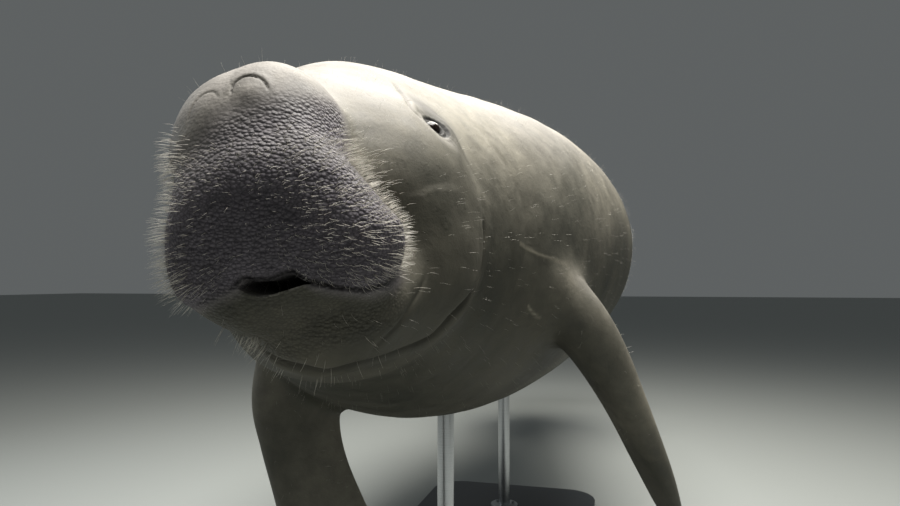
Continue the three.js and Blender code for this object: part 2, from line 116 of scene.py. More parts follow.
# Creases and scars: depth or height, half width, and the points they run through
CHIN_FOLD = [(-78, 84, -96), (-60, 89, -111), (-34, 86, -129), (-15, 96, -140), (15, 103, -143),
             (42, 151, -148), (71, 190, -147), (104, 201, -130), (139, 248, -100), (160, 262, -70),
             (172, 270, -30)]
CREASES = (
    (6.0, 5.5, CHIN_FOLD),
    (1.5, 3.0, [(18, 96, -140), (42, 93, -130), (64, 103, -118), (80, 118, -105), (89, 132, -94),
                (98, 150, -74)]),
    (3.0, 2.8, [(113, 277, 164), (122, 255, 139), (132, 205, 105), (140, 198, 89), (147, 199, 75)]),
)
SCARS = (
    [(206, 376, -71), (226, 425, -79), (242, 470, -87), (256, 518, -95)],
    [(198, 438, -147), (203, 471, -161), (208, 504, -171)],
)

RIGHT_FLIPPER = ((-0.87, -0.49, 0.1), np.array([
    [-160, 530, -90, 80, 52], [-190, 512, -150, 76, 48], [-205, 496, -205, 71, 40],
    [-209, 490, -262, 63, 33], [-206, 488, -320, 61, 27], [-200, 492, -385, 65, 23],
    [-195, 500, -450, 71, 19], [-193, 508, -510, 74, 16], [-192, 516, -560, 69, 13],
    [-192, 523, -598, 52, 10], [-192, 528, -622, 26, 7],
], float))
LEFT_FLIPPER = ((0.42, -0.9, 0), np.array([
    [180, 566, -90, 84, 54], [222, 580, -148, 80, 49], [248, 594, -201, 74, 42],
    [265, 612, -256, 66, 36], [278, 638, -322, 60, 29], [287, 668, -384, 58, 24],
    [294, 700, -444, 56, 20], [299, 728, -495, 50, 16], [302, 748, -532, 42, 13],
    [304, 762, -558, 31, 10], [305, 770, -574, 16, 7],
], float))
NAIL_HALF = (7, 3.4, 9.5)
NAIL_ACROSS = (-34, 0, 34)
TIP_REACH = 9

BASE = {"length": 1150, "width": 520, "thickness": 32, "corner": 90}
SCREW = {"count": 3, "circle": 28.5, "radius": 4.8, "height": 3.0, "rim": 2.0, "socket": 1.8}
ROD = {"radius": 17, "collar": 40, "collar_height": 14, "stations": (-330, 340)}


# The body as a field

def mix(a, b, t):
    return a + (b - a) * t


def smooth(t):
    t = np.clip(t, 0, 1)
    return t * t * (3 - 2 * t)


def bell(distance, width):
    return np.exp(-(distance / width) ** 2)


def blend(a, b, fillet):
    near = np.maximum(fillet - np.abs(a - b), 0) / fillet
    return np.minimum(a, b) - near * near * fillet / 4


def ellipsoid(p, form):
    at, r = np.array(form[0], float), np.array(form[1], float)
    q = (p - at) / r
    k0 = np.linalg.norm(q, axis=1)
    k1 = np.maximum(np.linalg.norm(q / r, axis=1), 1e-9)
    return k0 * (k0 - 1) / k1


def rounded_box(p, form):
    at, half, rounding = np.array(form[0], float), np.array(form[1], float), form[2]
    q = np.abs(p - at) - half + rounding
    return np.linalg.norm(np.maximum(q, 0), axis=1) + np.minimum(q.max(1), 0) - rounding


def section(y, column):
    """Smooth value of a column of SECTIONS at stations y."""
    xs, vs = SECTIONS[:, 0], SECTIONS[:, column]
    last = len(xs) - 1
    i = np.clip(np.searchsorted(xs, y, side="left") - 1, 0, last - 1)
    before, after = np.maximum(i - 1, 0), np.minimum(i + 2, last)
    span = xs[i + 1] - xs[i]
    t = np.clip((y - xs[i]) / span, 0, 1)
    rise1 = (vs[i + 1] - vs[before]) / (xs[i + 1] - xs[before]) * span
    rise2 = (vs[after] - vs[i]) / (xs[after] - xs[i]) * span
    t2, t3 = t * t, t * t * t
    return ((2 * t3 - 3 * t2 + 1) * vs[i] + (t3 - 2 * t2 + t) * rise1
            + (3 * t2 - 2 * t3) * vs[i + 1] + (t3 - t2) * rise2)


def trunk(p):
    width = section(p[:, 1], 1)
    height = np.where(p[:, 2] > 0, section(p[:, 1], 2), section(p[:, 1], 3))
    around = (np.hypot(p[:, 0] / width, p[:, 2] / height) - 1) * np.minimum(width, height)
    return np.where(p[:, 1] < SECTIONS[0, 0], np.maximum(around, SECTIONS[0, 0] - p[:, 1]), around)


def body(points):
    """Distance to the skin in millimetres, negative inside."""
    p = np.array(points, float)
    lean = DISC_LEAN * (1 - smooth((p[:, 1] - 110) / 140)) * smooth((p[:, 2] + 70) / 80)
    p[:, 0] = np.abs(p[:, 0]) * (1 + lean * np.sign(p[:, 0]))
    d = trunk(p)
    near = p[:, 1] <= 520
    if not near.any():
        return d
    q, h = p[near], d[near]
    h = blend(h, rounded_box(q, SNOUT), 70)
    h = blend(h, ellipsoid(q, CHEEK), 50)
    h = blend(h, ellipsoid(q, JOWL), 22)
    h = blend(h, ellipsoid(q, CHIN), 34)
    rise = q[:, 2] - DISC_NARROWING[2]
    taper = 1 - DISC_NARROWING[0] * np.maximum(rise, 0) - DISC_NARROWING[1] * np.maximum(-rise, 0)
    rise = q[:, 2] - DISC_SLOPE[2]
    back = DISC_SLOPE[0] * np.maximum(-rise, 0) + DISC_SLOPE[1] * np.maximum(rise, 0) ** 2
    m = np.stack([q[:, 0] / taper, q[:, 1] - back, q[:, 2]], 1)
    muzzle = blend(rounded_box(m, DISC), ellipsoid(m, FRONT), 40)
    muzzle = blend(muzzle, ellipsoid(np.stack([q[:, 0], m[:, 1], q[:, 2]], 1), LIP_PAD), 40)
    h = blend(h, muzzle, mix(16, 60, smooth((q[:, 2] - 40) / 60)))
    h = blend(h, ellipsoid(q, NOSE), 50)
    h = blend(h, ellipsoid(q, NOSTRIL_BOSS), 44)
    h = -blend(-h, ellipsoid(q, EYE_DENT), 14)
    d[near] = h
    return d


def body_normal(points, step=0.5):
    out = np.stack([body(points + e) - body(points - e) for e in np.eye(3) * step], 1)
    return out / np.maximum(np.linalg.norm(out, axis=1), 1e-9)[:, None]


def cast(origins, directions, reach=520):
    """The first crossing of the skin on rays that start inside."""
    n = len(origins)
    near, far, inside = np.zeros(n), np.full(n, float(reach)), np.ones(n, bool)
    steps = 60
    for i in range(1, steps + 1):
        t = reach * i / steps
        outside = np.zeros(n, bool)
        outside[inside] = body(origins[inside] + directions[inside] * t) > 0
        far[outside] = t
        inside &= ~outside
        near[inside] = t
        if not inside.any():
            break
    for _ in range(17):
        middle = (near + far) / 2
        out = body(origins + directions * middle[:, None]) > 0
        far = np.where(out, middle, far)
        near = np.where(out, near, middle)
    return origins + directions * ((near + far) / 2)[:, None]


def settle(points, times=3):
    """Moves points that are near the skin onto it."""
    for _ in range(times):
        points = points - body_normal(points) * body(points)[:, None]
    return points


def turned(p, axis, degrees):
    a = np.radians(degrees)
    c, s = np.cos(a), np.sin(a)
    x, y, z = p[:, 0], p[:, 1], p[:, 2]
    if axis == "x":
        return np.stack([x, c * y - s * z, s * y + c * z], 1)
    if axis == "y":
        return np.stack([c * x + s * z, y, c * z - s * x], 1)
    return np.stack([c * x - s * y, s * x + c * y, z], 1)


def pose(points):
    """Points of the straight frame, in millimetres, as they stand over the floor, in metres."""
    p = np.array(points, float).reshape(-1, 3)
    y = p[:, 1].copy()
    turn = 1 - smooth((y - NECK_BEND[0]) / (NECK_BEND[1] - NECK_BEND[0]))
    p[:, 1] -= NECK_BEND[1]
    p = turned(p, "y", -HEAD_ROLL * turn)
    p = turned(p, "x", HEAD_PITCH * turn)
    p = turned(p, "z", HEAD_YAW * turn)
    p[:, 1] += NECK_BEND[1]
    p[:, 2] -= TAIL_DROOP * np.clip((y - 1300) / (BODY_LENGTH - 1300), 0, 1) ** 2
    p = turned(p, "y", -BODY_ROLL)
    return (p + [0, -BALANCE_Y, AXIS_HEIGHT]) / 1000


def eye_frame(side):
    """Centre on the skin, way along the lids, way up, way out."""
    start = np.array([[EYEBALL_AT[0] * side * 0.7, EYEBALL_AT[1], EYEBALL_AT[2]]], float)
    skin = cast(start, np.array([[side, 0.0, 0.0]]), 120)
    out = Vector(body_normal(skin)[0])
    along = Vector((0, 1, -0.35))
    along = (along - out * along.dot(out)).normalized()
    up = out.cross(along).normalized()
    if up.z < 0:
        up = -up
    return np.array(skin[0]), np.array(along), np.array(up), np.array(out)


def nostril_frame(side):
    aim = np.array([[NOSTRIL_AT[0] * side + NOSTRIL_SHIFT, NOSTRIL_AT[1], NOSTRIL_AT[2]]], float) - HEAD_FOCUS
    aim /= np.linalg.norm(aim)
    skin = cast(np.array([HEAD_FOCUS], float), aim, 300)
    out = Vector(body_normal(skin)[0])
    across = Vector((side, 0, 0))
    across = (across - out * across.dot(out)).normalized()
    up = out.cross(across).normalized()
    if up.z < 0:
        up = -up
    return np.array(skin[0]), np.array(across), np.array(up), np.array(out)


# Noise

def lumps(p, size, seed):
    """A smooth random field of about -1 to 1, with forms about `size` across."""
    rng = np.random.default_rng(seed)
    total = np.zeros(len(p))
    for _ in range(9):
        way = rng.normal(size=3)
        way /= np.linalg.norm(way)
        total += np.sin(p @ way * (2 * np.pi / (size * rng.uniform(0.8, 1.7))) + rng.uniform(0, 6.3))
    return total / 4


# Mesh helpers

def begin(operator, name, **settings):
    """Adds a primitive with nothing else selected."""
    if bpy.context.object and bpy.context.object.mode != "OBJECT":
        bpy.ops.object.mode_set(mode="OBJECT")
    bpy.ops.object.select_all(action="DESELECT")
    operator(**settings)
    piece = bpy.context.active_object
    piece.name = name
    piece.data.name = name
    return piece


def choose(piece):
    bpy.ops.object.select_all(action="DESELECT")
    piece.select_set(True)
    bpy.context.view_layer.objects.active = piece


def apply_modifier(piece, kind, **settings):
    choose(piece)
    modifier = piece.modifiers.new(kind.title(), kind)
    for key, value in settings.items():
        setattr(modifier, key, value)
    bpy.ops.object.modifier_apply(modifier=modifier.name)


def edit_all(piece, operator, **settings):
    """Runs one mesh operator on the whole piece in edit mode."""
    choose(piece)
    bpy.ops.object.mode_set(mode="EDIT")
    bpy.ops.mesh.select_all(action="SELECT")
    operator(**settings)
    bpy.ops.object.mode_set(mode="OBJECT")


def edit_some(piece, kind, wanted, *steps):
    """Runs mesh operators on the vertices, edges or faces that are wanted."""
    choose(piece)
    bpy.ops.object.mode_set(mode="EDIT")
    bpy.ops.mesh.select_mode(type=kind)
    bpy.ops.mesh.select_all(action="DESELECT")
    bpy.ops.object.mode_set(mode="OBJECT")
    elements = {"VERT": piece.data.vertices, "EDGE": piece.data.edges, "FACE": piece.data.polygons}[kind]
    elements.foreach_set("select", wanted)
    bpy.ops.object.mode_set(mode="EDIT")
    for operator, settings in steps:
        operator(**settings)
    bpy.ops.object.mode_set(mode="OBJECT")


def pairs(piece):
    """The two vertices of each edge."""
    edges = np.empty(len(piece.data.edges) * 2, int)
    piece.data.edges.foreach_get("vertices", edges)
    return edges.reshape(-1, 2).T


def relax(piece, weight, times, strength):
    """Moves each vertex towards the mean of its neighbours, by its weight."""
    p = coordinates(piece)
    a, b = pairs(piece)
    use = (weight[a] > 0) | (weight[b] > 0)
    a, b = a[use], b[use]
    n = len(p)
    count = np.bincount(a, minlength=n) + np.bincount(b, minlength=n)
    for _ in range(times):
        mean = np.stack([np.bincount(a, p[b, k], n) + np.bincount(b, p[a, k], n) for k in range(3)], 1)
        mean /= np.maximum(count, 1)[:, None]
        p += (mean - p) * (strength * weight * (count > 0))[:, None]
    place(piece, p)


def join_or_cut(piece, other, operation):
    settings = {"operation": operation, "solver": "EXACT", "object": other, "material_mode": "INDEX"}
    apply_modifier(piece, "BOOLEAN", **settings)
    bpy.data.objects.remove(other)


def coordinates(piece):
    flat = np.empty(len(piece.data.vertices) * 3)
    piece.data.vertices.foreach_get("co", flat)
    return flat.reshape(-1, 3)


def place(piece, points):
    piece.data.vertices.foreach_set("co", np.asarray(points, float).ravel())
    piece.data.update()


def seat(piece):
    """Puts the piece's place in its mesh."""
    choose(piece)
    bpy.ops.object.transform_apply(location=True, rotation=True, scale=True)


def round_shading(piece, angle=None):
    choose(piece)
    if angle is None:
        bpy.ops.object.shade_smooth()
    else:
        bpy.ops.object.shade_smooth_by_angle(angle=math.radians(angle))


def dress(piece, material, slot_name, *nodes):
    piece.data.materials.clear()
    piece.data.materials.append(material)
    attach(piece, "root")
    if nodes:
        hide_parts(*nodes)


def sphere_grid(piece, segments, rings):
    """Ring and turn of each vertex of a new UV sphere, the ring from 0 to 1 from its top."""
    p = coordinates(piece)
    p /= np.linalg.norm(p, axis=1)[:, None]
    ring = np.round(np.arccos(np.clip(p[:, 2], -1, 1)) / math.pi * rings)
    turn = np.arctan2(p[:, 1], p[:, 0])
    return ring, np.round(turn / (2 * math.pi) * segments) * (2 * math.pi / segments)


def mesh_from_arrays(name, points, faces):
    data = bpy.data.meshes.new(name)
    faces = np.asarray(faces)
    data.vertices.add(len(points))
    data.vertices.foreach_set("co", np.asarray(points, float).ravel())
    data.loops.add(faces.size)
    data.loops.foreach_set("vertex_index", faces.ravel())
    data.polygons.add(len(faces))
    data.polygons.foreach_set("loop_start", np.arange(0, faces.size, faces.shape[1]))
    data.update(calc_edges=True)
    piece = bpy.data.objects.new(name, data)
    bpy.context.collection.objects.link(piece)
    return piece


# Materials

def linear(hex_colour):
    """An sRGB hex value as a linear colour."""
    parts = [int(hex_colour[i:i + 2], 16) / 255 for i in (1, 3, 5)]
    return tuple(c / 12.92 if c <= 0.04045 else ((c + 0.055) / 1.055) ** 2.4 for c in parts) + (1.0,)


def new_material(name):
    material = bpy.data.materials.new(name)
    material.use_nodes = True
    material.node_tree.nodes.clear()
    return material


def node(look, kind, settings=None, **links):
    """Adds a node. Settings are its properties, links are its sockets: a value or an output."""
    tree = look.node_tree
    added = tree.nodes.new(kind)
    for key, value in (settings or {}).items():
        setattr(added, key, value)
    for key, value in links.items():
        numbered = key[0] == "i" and key[1:].isdigit()
        socket = added.inputs[int(key[1:]) if numbered else key.replace("_", " ")]
        if isinstance(value, bpy.types.NodeSocket):
            tree.links.new(value, socket)
        else:
            socket.default_value = value
    return added


def object_place(look):
    return node(look, "ShaderNodeTexCoord").outputs["Object"]


def attribute(look, name):
    return node(look, "ShaderNodeAttribute", {"attribute_type": "GEOMETRY", "attribute_name": name}).outputs


def channels(look, colour):
    parts = node(look, "ShaderNodeSeparateColor", None, Color=colour).outputs
    return parts["Red"], parts["Green"], parts["Blue"]


def noise(look, at, scale, detail, roughness=0.5):
    return node(look, "ShaderNodeTexNoise", None, Vector=at, Scale=scale, Detail=detail, Roughness=roughness).outputs


def voronoi(look, feature, at, scale, **links):
    return node(look, "ShaderNodeTexVoronoi", {"feature": feature}, Vector=at, Scale=scale, **links).outputs["Distance"]


def stretched(look, at, scale):
    return node(look, "ShaderNodeMapping", None, Vector=at, Scale=scale).outputs["Vector"]


def product(look, first, second):
    return node(look, "ShaderNodeMath", {"operation": "MULTIPLY"}, i0=first, i1=second).outputs[0]


def ranged(look, value, **ends):
    return node(look, "ShaderNodeMapRange", None, Value=value, **ends).outputs["Result"]


def bump(look, height, strength, distance, under=None, invert=False):
    """Relief of the light only, laid over the one under it."""
    links = {} if under is None else {"Normal": under}
    added = node(look, "ShaderNodeBump", {"invert": invert}, Strength=strength, Distance=distance,
                 Height=height, **links)
    return added.outputs["Normal"]


def ramp(look, factor, stops):
    added = node(look, "ShaderNodeValToRGB", None, Fac=factor)
    elements = added.color_ramp.elements
    while len(elements) < len(stops):
        elements.new(0.5)
    for element, (position, colour) in zip(elements, stops):
        element.position = position
        element.color = linear(colour) if isinstance(colour, str) else (colour, colour, colour, 1)
    return added.outputs["Color"]


def blended(look, factor, first, second, mode="MIX"):
    settings = {"data_type": "RGBA", "blend_type": mode}
    return node(look, "ShaderNodeMix", settings, i0=factor, i6=first, i7=second).outputs[2]


def surface(look, **links):
    """Ends a material with its surface shader."""
    shader = node(look, "ShaderNodeBsdfPrincipled", None, **links)
    node(look, "ShaderNodeOutputMaterial", None, Surface=shader.outputs["BSDF"])
    return look


def skin_material(settings):
    """Manatee skin: thick, matt and grey, cracked into fine wrinkles, pebbled on the lips. Its colour carries painted
    light: a paler top, and painted shade underneath, in cracks, creases and pebble joints, round the eyes and nostrils
    and in the mouth.
    """
    look = new_material("manatee_skin")
    at = object_place(look)
    zone = attribute(look, "zone")
    # sky carries painted light on the top, dark carries painted shade
    muzzle, sky, dark = channels(look, zone["Color"])
    scar = product(look, zone["Alpha"], 0.5)
    pebbled, under, _ = channels(look, attribute(look, "surface")["Color"])

    broad = noise(look, at, 5.0, 5.0, 0.55)["Fac"]
    mottle = noise(look, at, 38.0, 6.0, 0.6)["Fac"]
    grain = noise(look, at, 330.0, 4.0, 0.6)["Fac"]
    wide = stretched(look, at, (235.0, 290.0, 330.0))
    pebbles = voronoi(look, "SMOOTH_F1", wide, 1.0, Smoothness=0.25)
    joints = voronoi(look, "DISTANCE_TO_EDGE", wide, 1.0)
    wander = noise(look, at, 120.0, 3.0)["Color"]
    bent = node(look, "ShaderNodeMix", {"data_type": "VECTOR"}, i0=0.012, i4=at, i5=wander).outputs[1]
    cracks = voronoi(look, "DISTANCE_TO_EDGE", bent, 330.0)
    ridged = {"noise_type": "RIDGED_MULTIFRACTAL", "normalize": True}
    wrinkles = node(look, "ShaderNodeTexNoise", ridged, Vector=bent, Scale=85.0, Detail=5.0, Roughness=0.6)

    flank = ramp(look, broad, [(0.3, settings.flank_dark), (0.5, settings.flank_mid), (0.7, settings.flank_pale)])
    # painted shade: a darker olive laid on the skin where it faces down
    painted_underside_shade = ramp(look, broad, [(0.35, settings.painted_shade_under_dark), (0.65, settings.painted_shade_under_pale)])
    lips = ramp(look, broad, [(0.35, settings.muzzle_dark), (0.65, settings.muzzle_pale)])
    colour = blended(look, muzzle, blended(look, under, flank, painted_underside_shade), lips)
    # painted shade in the crevices between the lips' pebbles
    painted_joint_shade = ramp(look, joints, [(0.0, 0.14), (0.18, 0.5), (0.5, 0.62)])
    colour = blended(look, pebbled, colour, blended(look, 0.7, colour, painted_joint_shade, "OVERLAY"))
    # painted light: a paler grey laid over the skin where it faces up
    colour = blended(look, sky, colour, linear("#aca7a3"))
    spots = ramp(look, mottle, [(0.35, 0.34), (0.5, 0.5), (0.66, 0.68)])
    colour = blended(look, 0.5, colour, spots, "OVERLAY")
    # painted shade in the fine cracks
    painted_crack_shade = ramp(look, cracks, [(0.0, 0.36), (0.09, 0.52)])
    colour = blended(look, 0.22, colour, painted_crack_shade, "OVERLAY")
    colour = blended(look, scar, colour, linear("#b3ab98"))
    # painted shade: near black mixed into the eye hollows, nostrils, creases and mouth
    colour = blended(look, dark, colour, linear("#171513"))

    rough = ranged(look, mottle, From_Min=0.3, From_Max=0.7, To_Min=0.55, To_Max=0.75)
    fine = ranged(look, cracks, From_Min=0.0, From_Max=0.12)
    normal = bump(look, product(look, pebbles, pebbled), 0.9, 0.0032, invert=True)
    normal = bump(look, fine, 0.16, 0.0006, normal)
    normal = bump(look, wrinkles.outputs["Fac"], 0.35, 0.0016, normal)
    normal = bump(look, grain, 0.30, 0.0010, normal)
    return surface(look, Base_Color=colour, Roughness=rough, Normal=normal, Specular_IOR_Level=0.28)


def eye_material():
    """A wet dark eye: nearly black iris under a clear cornea, so one sharp highlight shows."""
    look = new_material("wet_dark_eye")
    mottle = noise(look, object_place(look), 420.0, 3.0)["Fac"]
    colour = ramp(look, mottle, [(0.35, "#0c0908"), (0.7, "#2b201a")])
    return surface(look, Base_Color=colour, Roughness=0.12, IOR=1.34)


def horn_material():
    """Worn nail horn: pale, lengthways grained, with a dull polish."""
    look = new_material("worn_nail_horn")
    grain = noise(look, stretched(look, object_place(look), (900.0, 900.0, 120.0)), 1.0, 3.0)["Fac"]
    colour = ramp(look, grain, [(0.3, "#8f816a"), (0.7, "#c9bda3")])
    return surface(look, Base_Color=colour, Roughness=0.42, Normal=bump(look, grain, 0.3, 0.0004))


def bristle_material(name, root, tip):
    """Stiff hair: pale and slightly glossy, paler towards the tip."""
    look = new_material(name)
    colour = ramp(look, attribute(look, "along")["Fac"], [(0.0, root), (0.45, tip)])
    return surface(look, Base_Color=colour, Roughness=0.38, IOR=1.55)


def lacquer_material():
    """Satin powder coat on steel plate: an even dark grey with a fine orange peel."""
    look = new_material("satin_powder_coat")
    at = object_place(look)
    cloud = noise(look, at, 6.0, 4.0)["Fac"]
    colour = ramp(look, cloud, [(0.35, "#2a2d30"), (0.65, "#33373a")])
    rough = ranged(look, cloud, To_Min=0.34, To_Max=0.46)
    peel = bump(look, noise(look, at, 420.0, 2.0)["Fac"], 0.15, 0.0003)
    return surface(look, Base_Color=colour, Roughness=rough, Normal=peel)


def steel_material():
    """Turned stainless bar: rings of fine grain round each rod, which stretch its highlights."""
    look = new_material("turned_stainless_steel")
    grain = noise(look, stretched(look, object_place(look), (3.0, 3.0, 1600.0)), 1.0, 3.0)["Fac"]
    colour = ramp(look, grain, [(0.3, "#a4a6a8"), (0.7, "#c3c5c7")])
    rough = ranged(look, grain, To_Min=0.22, To_Max=0.36)
    return surface(look, Base_Color=colour, Roughness=rough, Normal=bump(look, grain, 0.12, 0.0002), Metallic=1.0)


# Settings

def colour_setting(name, description, default):
    return StringProperty(name=name, description=description, default=default)


def count_setting(name, description, default):
    return IntProperty(name=name, description=description, default=default, min=24)


def length_setting(name, description, default):
    return FloatProperty(name=name, description=description, default=default, unit="LENGTH", subtype="DISTANCE")


def angle_setting(name, description, degrees):
    return FloatProperty(name=name, description=description, default=math.radians(degrees), subtype="ANGLE")


class SkinSettings(bpy.types.PropertyGroup):
    segments: count_setting("Segments", "Faces round the body", 232)
    flank_dark: colour_setting("Flank, dark", "Darkest grey of the flank", "#57554c")
    flank_mid: colour_setting("Flank, middle", "Middle grey of the flank", "#706c61")
    flank_pale: colour_setting("Flank, pale", "Palest grey of the flank", "#8a8577")
    # the two underside greys are painted shade, darker than the skin's own grey
    painted_shade_under_dark: colour_setting("Underside, dark", "Darker olive of the underside", "#37372f")
    painted_shade_under_pale: colour_setting("Underside, pale", "Paler olive of the underside", "#524f45")
    muzzle_dark: colour_setting("Muzzle, dark", "Darker grey of the pad", "#4f4a50")
    muzzle_pale: colour_setting("Muzzle, pale", "Paler grey of the pad", "#726c73")


class HairSettings(bpy.types.PropertyGroup):
    muzzle_count: count_setting("Muzzle bristles", "How many bristles grow on the lips", 2100)
    corner_count: count_setting("Lip corner bristles", "How many grow at the corners and on the chin", 80)
    body_count: count_setting("Body hairs", "How many single hairs grow on the body", 3400)
    bristle_radius: length_setting("Bristle radius", "At the root", 0.00027)
    hair_radius: length_setting("Hair radius", "At the root", 0.00010)


class StandSettings(bpy.types.PropertyGroup):
    edge: length_setting("Edge", "Rounding of the base's edges", 0.005)


class StageSettings(bpy.types.PropertyGroup):
    lens: FloatProperty(name="Lens", description="Focal length of the camera", default=26.6, unit="CAMERA")
    eye_point: FloatVectorProperty(
        name="Camera", description="Where the camera stands", default=(0.360, -1.658, 0.712),
        subtype="TRANSLATION", unit="LENGTH")
    yaw: angle_setting("Yaw", "Camera's turn to the left of +Y", 14.8)
    pitch: angle_setting("Pitch", "Camera's tilt upwards", 2.4)


# Skin

HEAD_RINGS = 84      # rings of faces over the front of the snout
CHEEK_RINGS = 78     # and back to station 450
BODY_RINGS = 74
PADDLE_RINGS = 34


def skin_rays(ring, turn):
    """Origins and directions of the rays that find the skin, for each ring and turn."""
    ends = np.cumsum([HEAD_RINGS, CHEEK_RINGS, BODY_RINGS, PADDLE_RINGS])
    fan = np.where(ring < ends[0], ring / ends[0] * 90, 90)
    y = np.full(len(ring), float(HEAD_FOCUS[1]))
    t = (ring - ends[0]) / CHEEK_RINGS
    y = np.where(ring > ends[0], mix(150, 450, t), y)
    t = (ring - ends[1]) / BODY_RINGS
    y = np.where(ring > ends[1], mix(450, 2330, t), y)
    t = (ring - ends[2]) / PADDLE_RINGS
    y = np.where(ring > ends[2], mix(2330, BODY_LENGTH - 1, np.sin(np.clip(t, 0, 1) * math.pi / 2)), y)
    flat = y > 1900
    rx = np.where(flat, section(y, 1), 1)
    rz = np.where(flat, (section(y, 2) + section(y, 3)) / 2, 1)
    side = np.stack([np.cos(turn) * rx, np.sin(turn) * rz], 1)
    side /= np.linalg.norm(side, axis=1)[:, None]
    out, ahead = np.sin(np.radians(fan)), -np.cos(np.radians(fan))
    ahead = np.where(ring < ends[0], ahead, 0)
    centre = np.stack([np.zeros(len(ring)), y, mix(HEAD_FOCUS[2], 0, smooth((y - HEAD_FOCUS[1]) / 250))], 1)
    return centre, np.stack([side[:, 0] * out, ahead, side[:, 1] * out], 1)


def subdivide_near(piece, test):
    """Subdivides the faces whose vertices all pass the test."""
    cut = (bpy.ops.mesh.subdivide, {"number_cuts": 1, "quadcorner": "INNERVERT"})
    edit_some(piece, "VERT", test(coordinates(piece)), cut)


def chain_distance(q, points):
    best = np.full(len(q), 1e9)
    for a, b in zip(points[:-1], points[1:]):
        t = np.clip(((q - a) @ (b - a)) / ((b - a) @ (b - a)), 0, 1)
        best = np.minimum(best, np.linalg.norm(q - a - t[:, None] * (b - a), axis=1))
    return best


def lip_distance(p):
    """Distance from the line of the mouth, seen from the front."""
    return chain_distance(p[:, [0, 2]], LIP_LINE)


def local(p, axes):
    """Places measured along the three axes of a frame."""
    centre, first, second, out = axes
    return (p - centre) @ first, (p - centre) @ second, (p - centre) @ out


def line_distance(p, points):
    """Distance from a chain of points on the skin, found only near it."""
    best = np.full(len(p), 1e9)
    points = np.array(points, float)
    low, high = points.min(0) - 30, points.max(0) + 30
    near = ((p > low) & (p < high)).all(1)
    best[near] = chain_distance(p[near], points)
    return best


def on_skin_line(points):
    """The chain with its corners rounded, set on the skin."""
    points = np.array(points, float)
    at = np.arange(len(points))
    s = np.linspace(0, len(points) - 1, 6 * len(points))
    return settle(np.stack([smooth_column(at, points[:, k], s) for k in range(3)], 1), 4)


def line_fade(p, line, reach=34):
    """Fades a crease towards both of its ends."""
    ends = [np.linalg.norm(p - line[k], axis=1) for k in (0, -1)]
    return smooth(np.minimum(*ends) / reach)


def lip_depth(p):
    """How open the seam of the lips is: full in front, gone before the corners."""
    x, y, z = p[:, 0], p[:, 1], p[:, 2]
    fade = smooth((104 - y) / 34) * smooth((-34 - z) / 8)
    return fade * np.where(x < 0, 0.12 + 0.88 * smooth((x + 50) / 12), 1)


def eye_rho(p, side):
    """How far out from the eye's middle, 1 on the opening's edge, which way, and how near in depth."""
    u, v, w = local(p, eye_frame(side))
    near = smooth((45 - np.abs(w)) / 12) * (p[:, 0] * side > 60)
    return np.hypot(u / EYE_OPENING[0], v / EYE_OPENING[1]), np.arctan2(v, u), near


def nostril_arc(p, side):
    """Distance from the crescent of a closed nostril, how far out from its middle, and where it runs."""
    u, v, w = local(p, nostril_frame(side))
    near = smooth((22 - np.abs(w)) / 6)
    s, t = 0.94 * u + 0.342 * v + 2, 0.94 * v - 0.342 * u + 4
    rho = np.hypot(s / 15, t / 20)
    turn = np.degrees(np.arctan2(s / 15, t / 20))
    arc = smooth((turn + 72) / 24) * smooth((128 - turn) / 40) * near
    return (rho - 1) * 17, rho, arc, near


def relief(p):
    """Height of the folds, rims and creases over the smooth form, in millimetres."""
    ahead = p[:, 1] < 700
    h = 0.7 * lumps(p, 90, 3) + 0.25 * lumps(p, 34, 5) * ahead
    # the snout's crown stands a little fuller than the plain solids show it
    at, reach, height = SNOUT_CROWN
    h += height * bell(np.linalg.norm((p - at) / reach, axis=1), 1.0)
    # line of the mouth, and the upper lip's roll over it
    lip = lip_distance(p)
    h -= 3.4 * bell(lip, 2.0) * lip_depth(p)
    for side, share in ((1, 1.0), (-1, 0.35)):
        off, rho, arc, near = nostril_arc(p, side)
        h -= share * 2.8 * bell(off, 0.9) * arc
        h += share * 1.8 * bell(rho, 0.75) * near
        h += share * 0.6 * bell(off - 4, 3.0) * arc
        u, v, _ = local(p, eye_frame(side))
        rho, angle, near = eye_rho(p, side)
        # a hollow that opens forwards, with a fuller brow behind it
        h -= near * 6.0 * bell(np.hypot((u + 7) / 20, (v - 7) / 18), 1.0)
        h += near * 5.0 * bell(np.hypot((u - 32) / 19, (v - 8) / 32), 1.0)
        lids = 0.9 * bell(rho - 1.25, 0.16) - 0.6 * bell(rho - 1.7, 0.2) + 0.4 * bell(rho - 2.2, 0.3)
        rays = 0.15 * np.sin(angle * 19 + 1.7 * np.sin(rho * 2))
        rays = rays * smooth((rho - 1.5) / 0.6) * smooth((3.6 - rho) / 2)
        h += near * (lids + rays)
        h -= near * 5.0 * smooth((1.08 - rho) / 0.2)
    for depth, width, points in CREASES:
        line = on_skin_line(points)
        off = line_distance(p, line)
        h += depth * (0.25 * bell(off - 3 * width, 1.6 * width) - bell(off, width)) * line_fade(p, line)
    for points in SCARS:
        h += 0.5 * bell(line_distance(p, on_skin_line(points)), 2.2)
    # cross fold over the snout behind the nostrils, and soft rings round the neck
    top = smooth((p[:, 2] - 90) / 40)
    h -= 1.0 * bell(p[:, 1] - 74 - 0.002 * p[:, 0] ** 2, 3.0) * top * (np.abs(p[:, 0]) < 60)
    for station, depth in NECK_RINGS:
        wander = 14 * np.sin(p[:, 0] / 60 + station) + 11 * np.sin(p[:, 2] / 47 + station)
        h -= depth * bell(p[:, 1] - station - wander, 7.0) * (0.4 + 0.6 * smooth((150 - p[:, 2]) / 200))
    return h


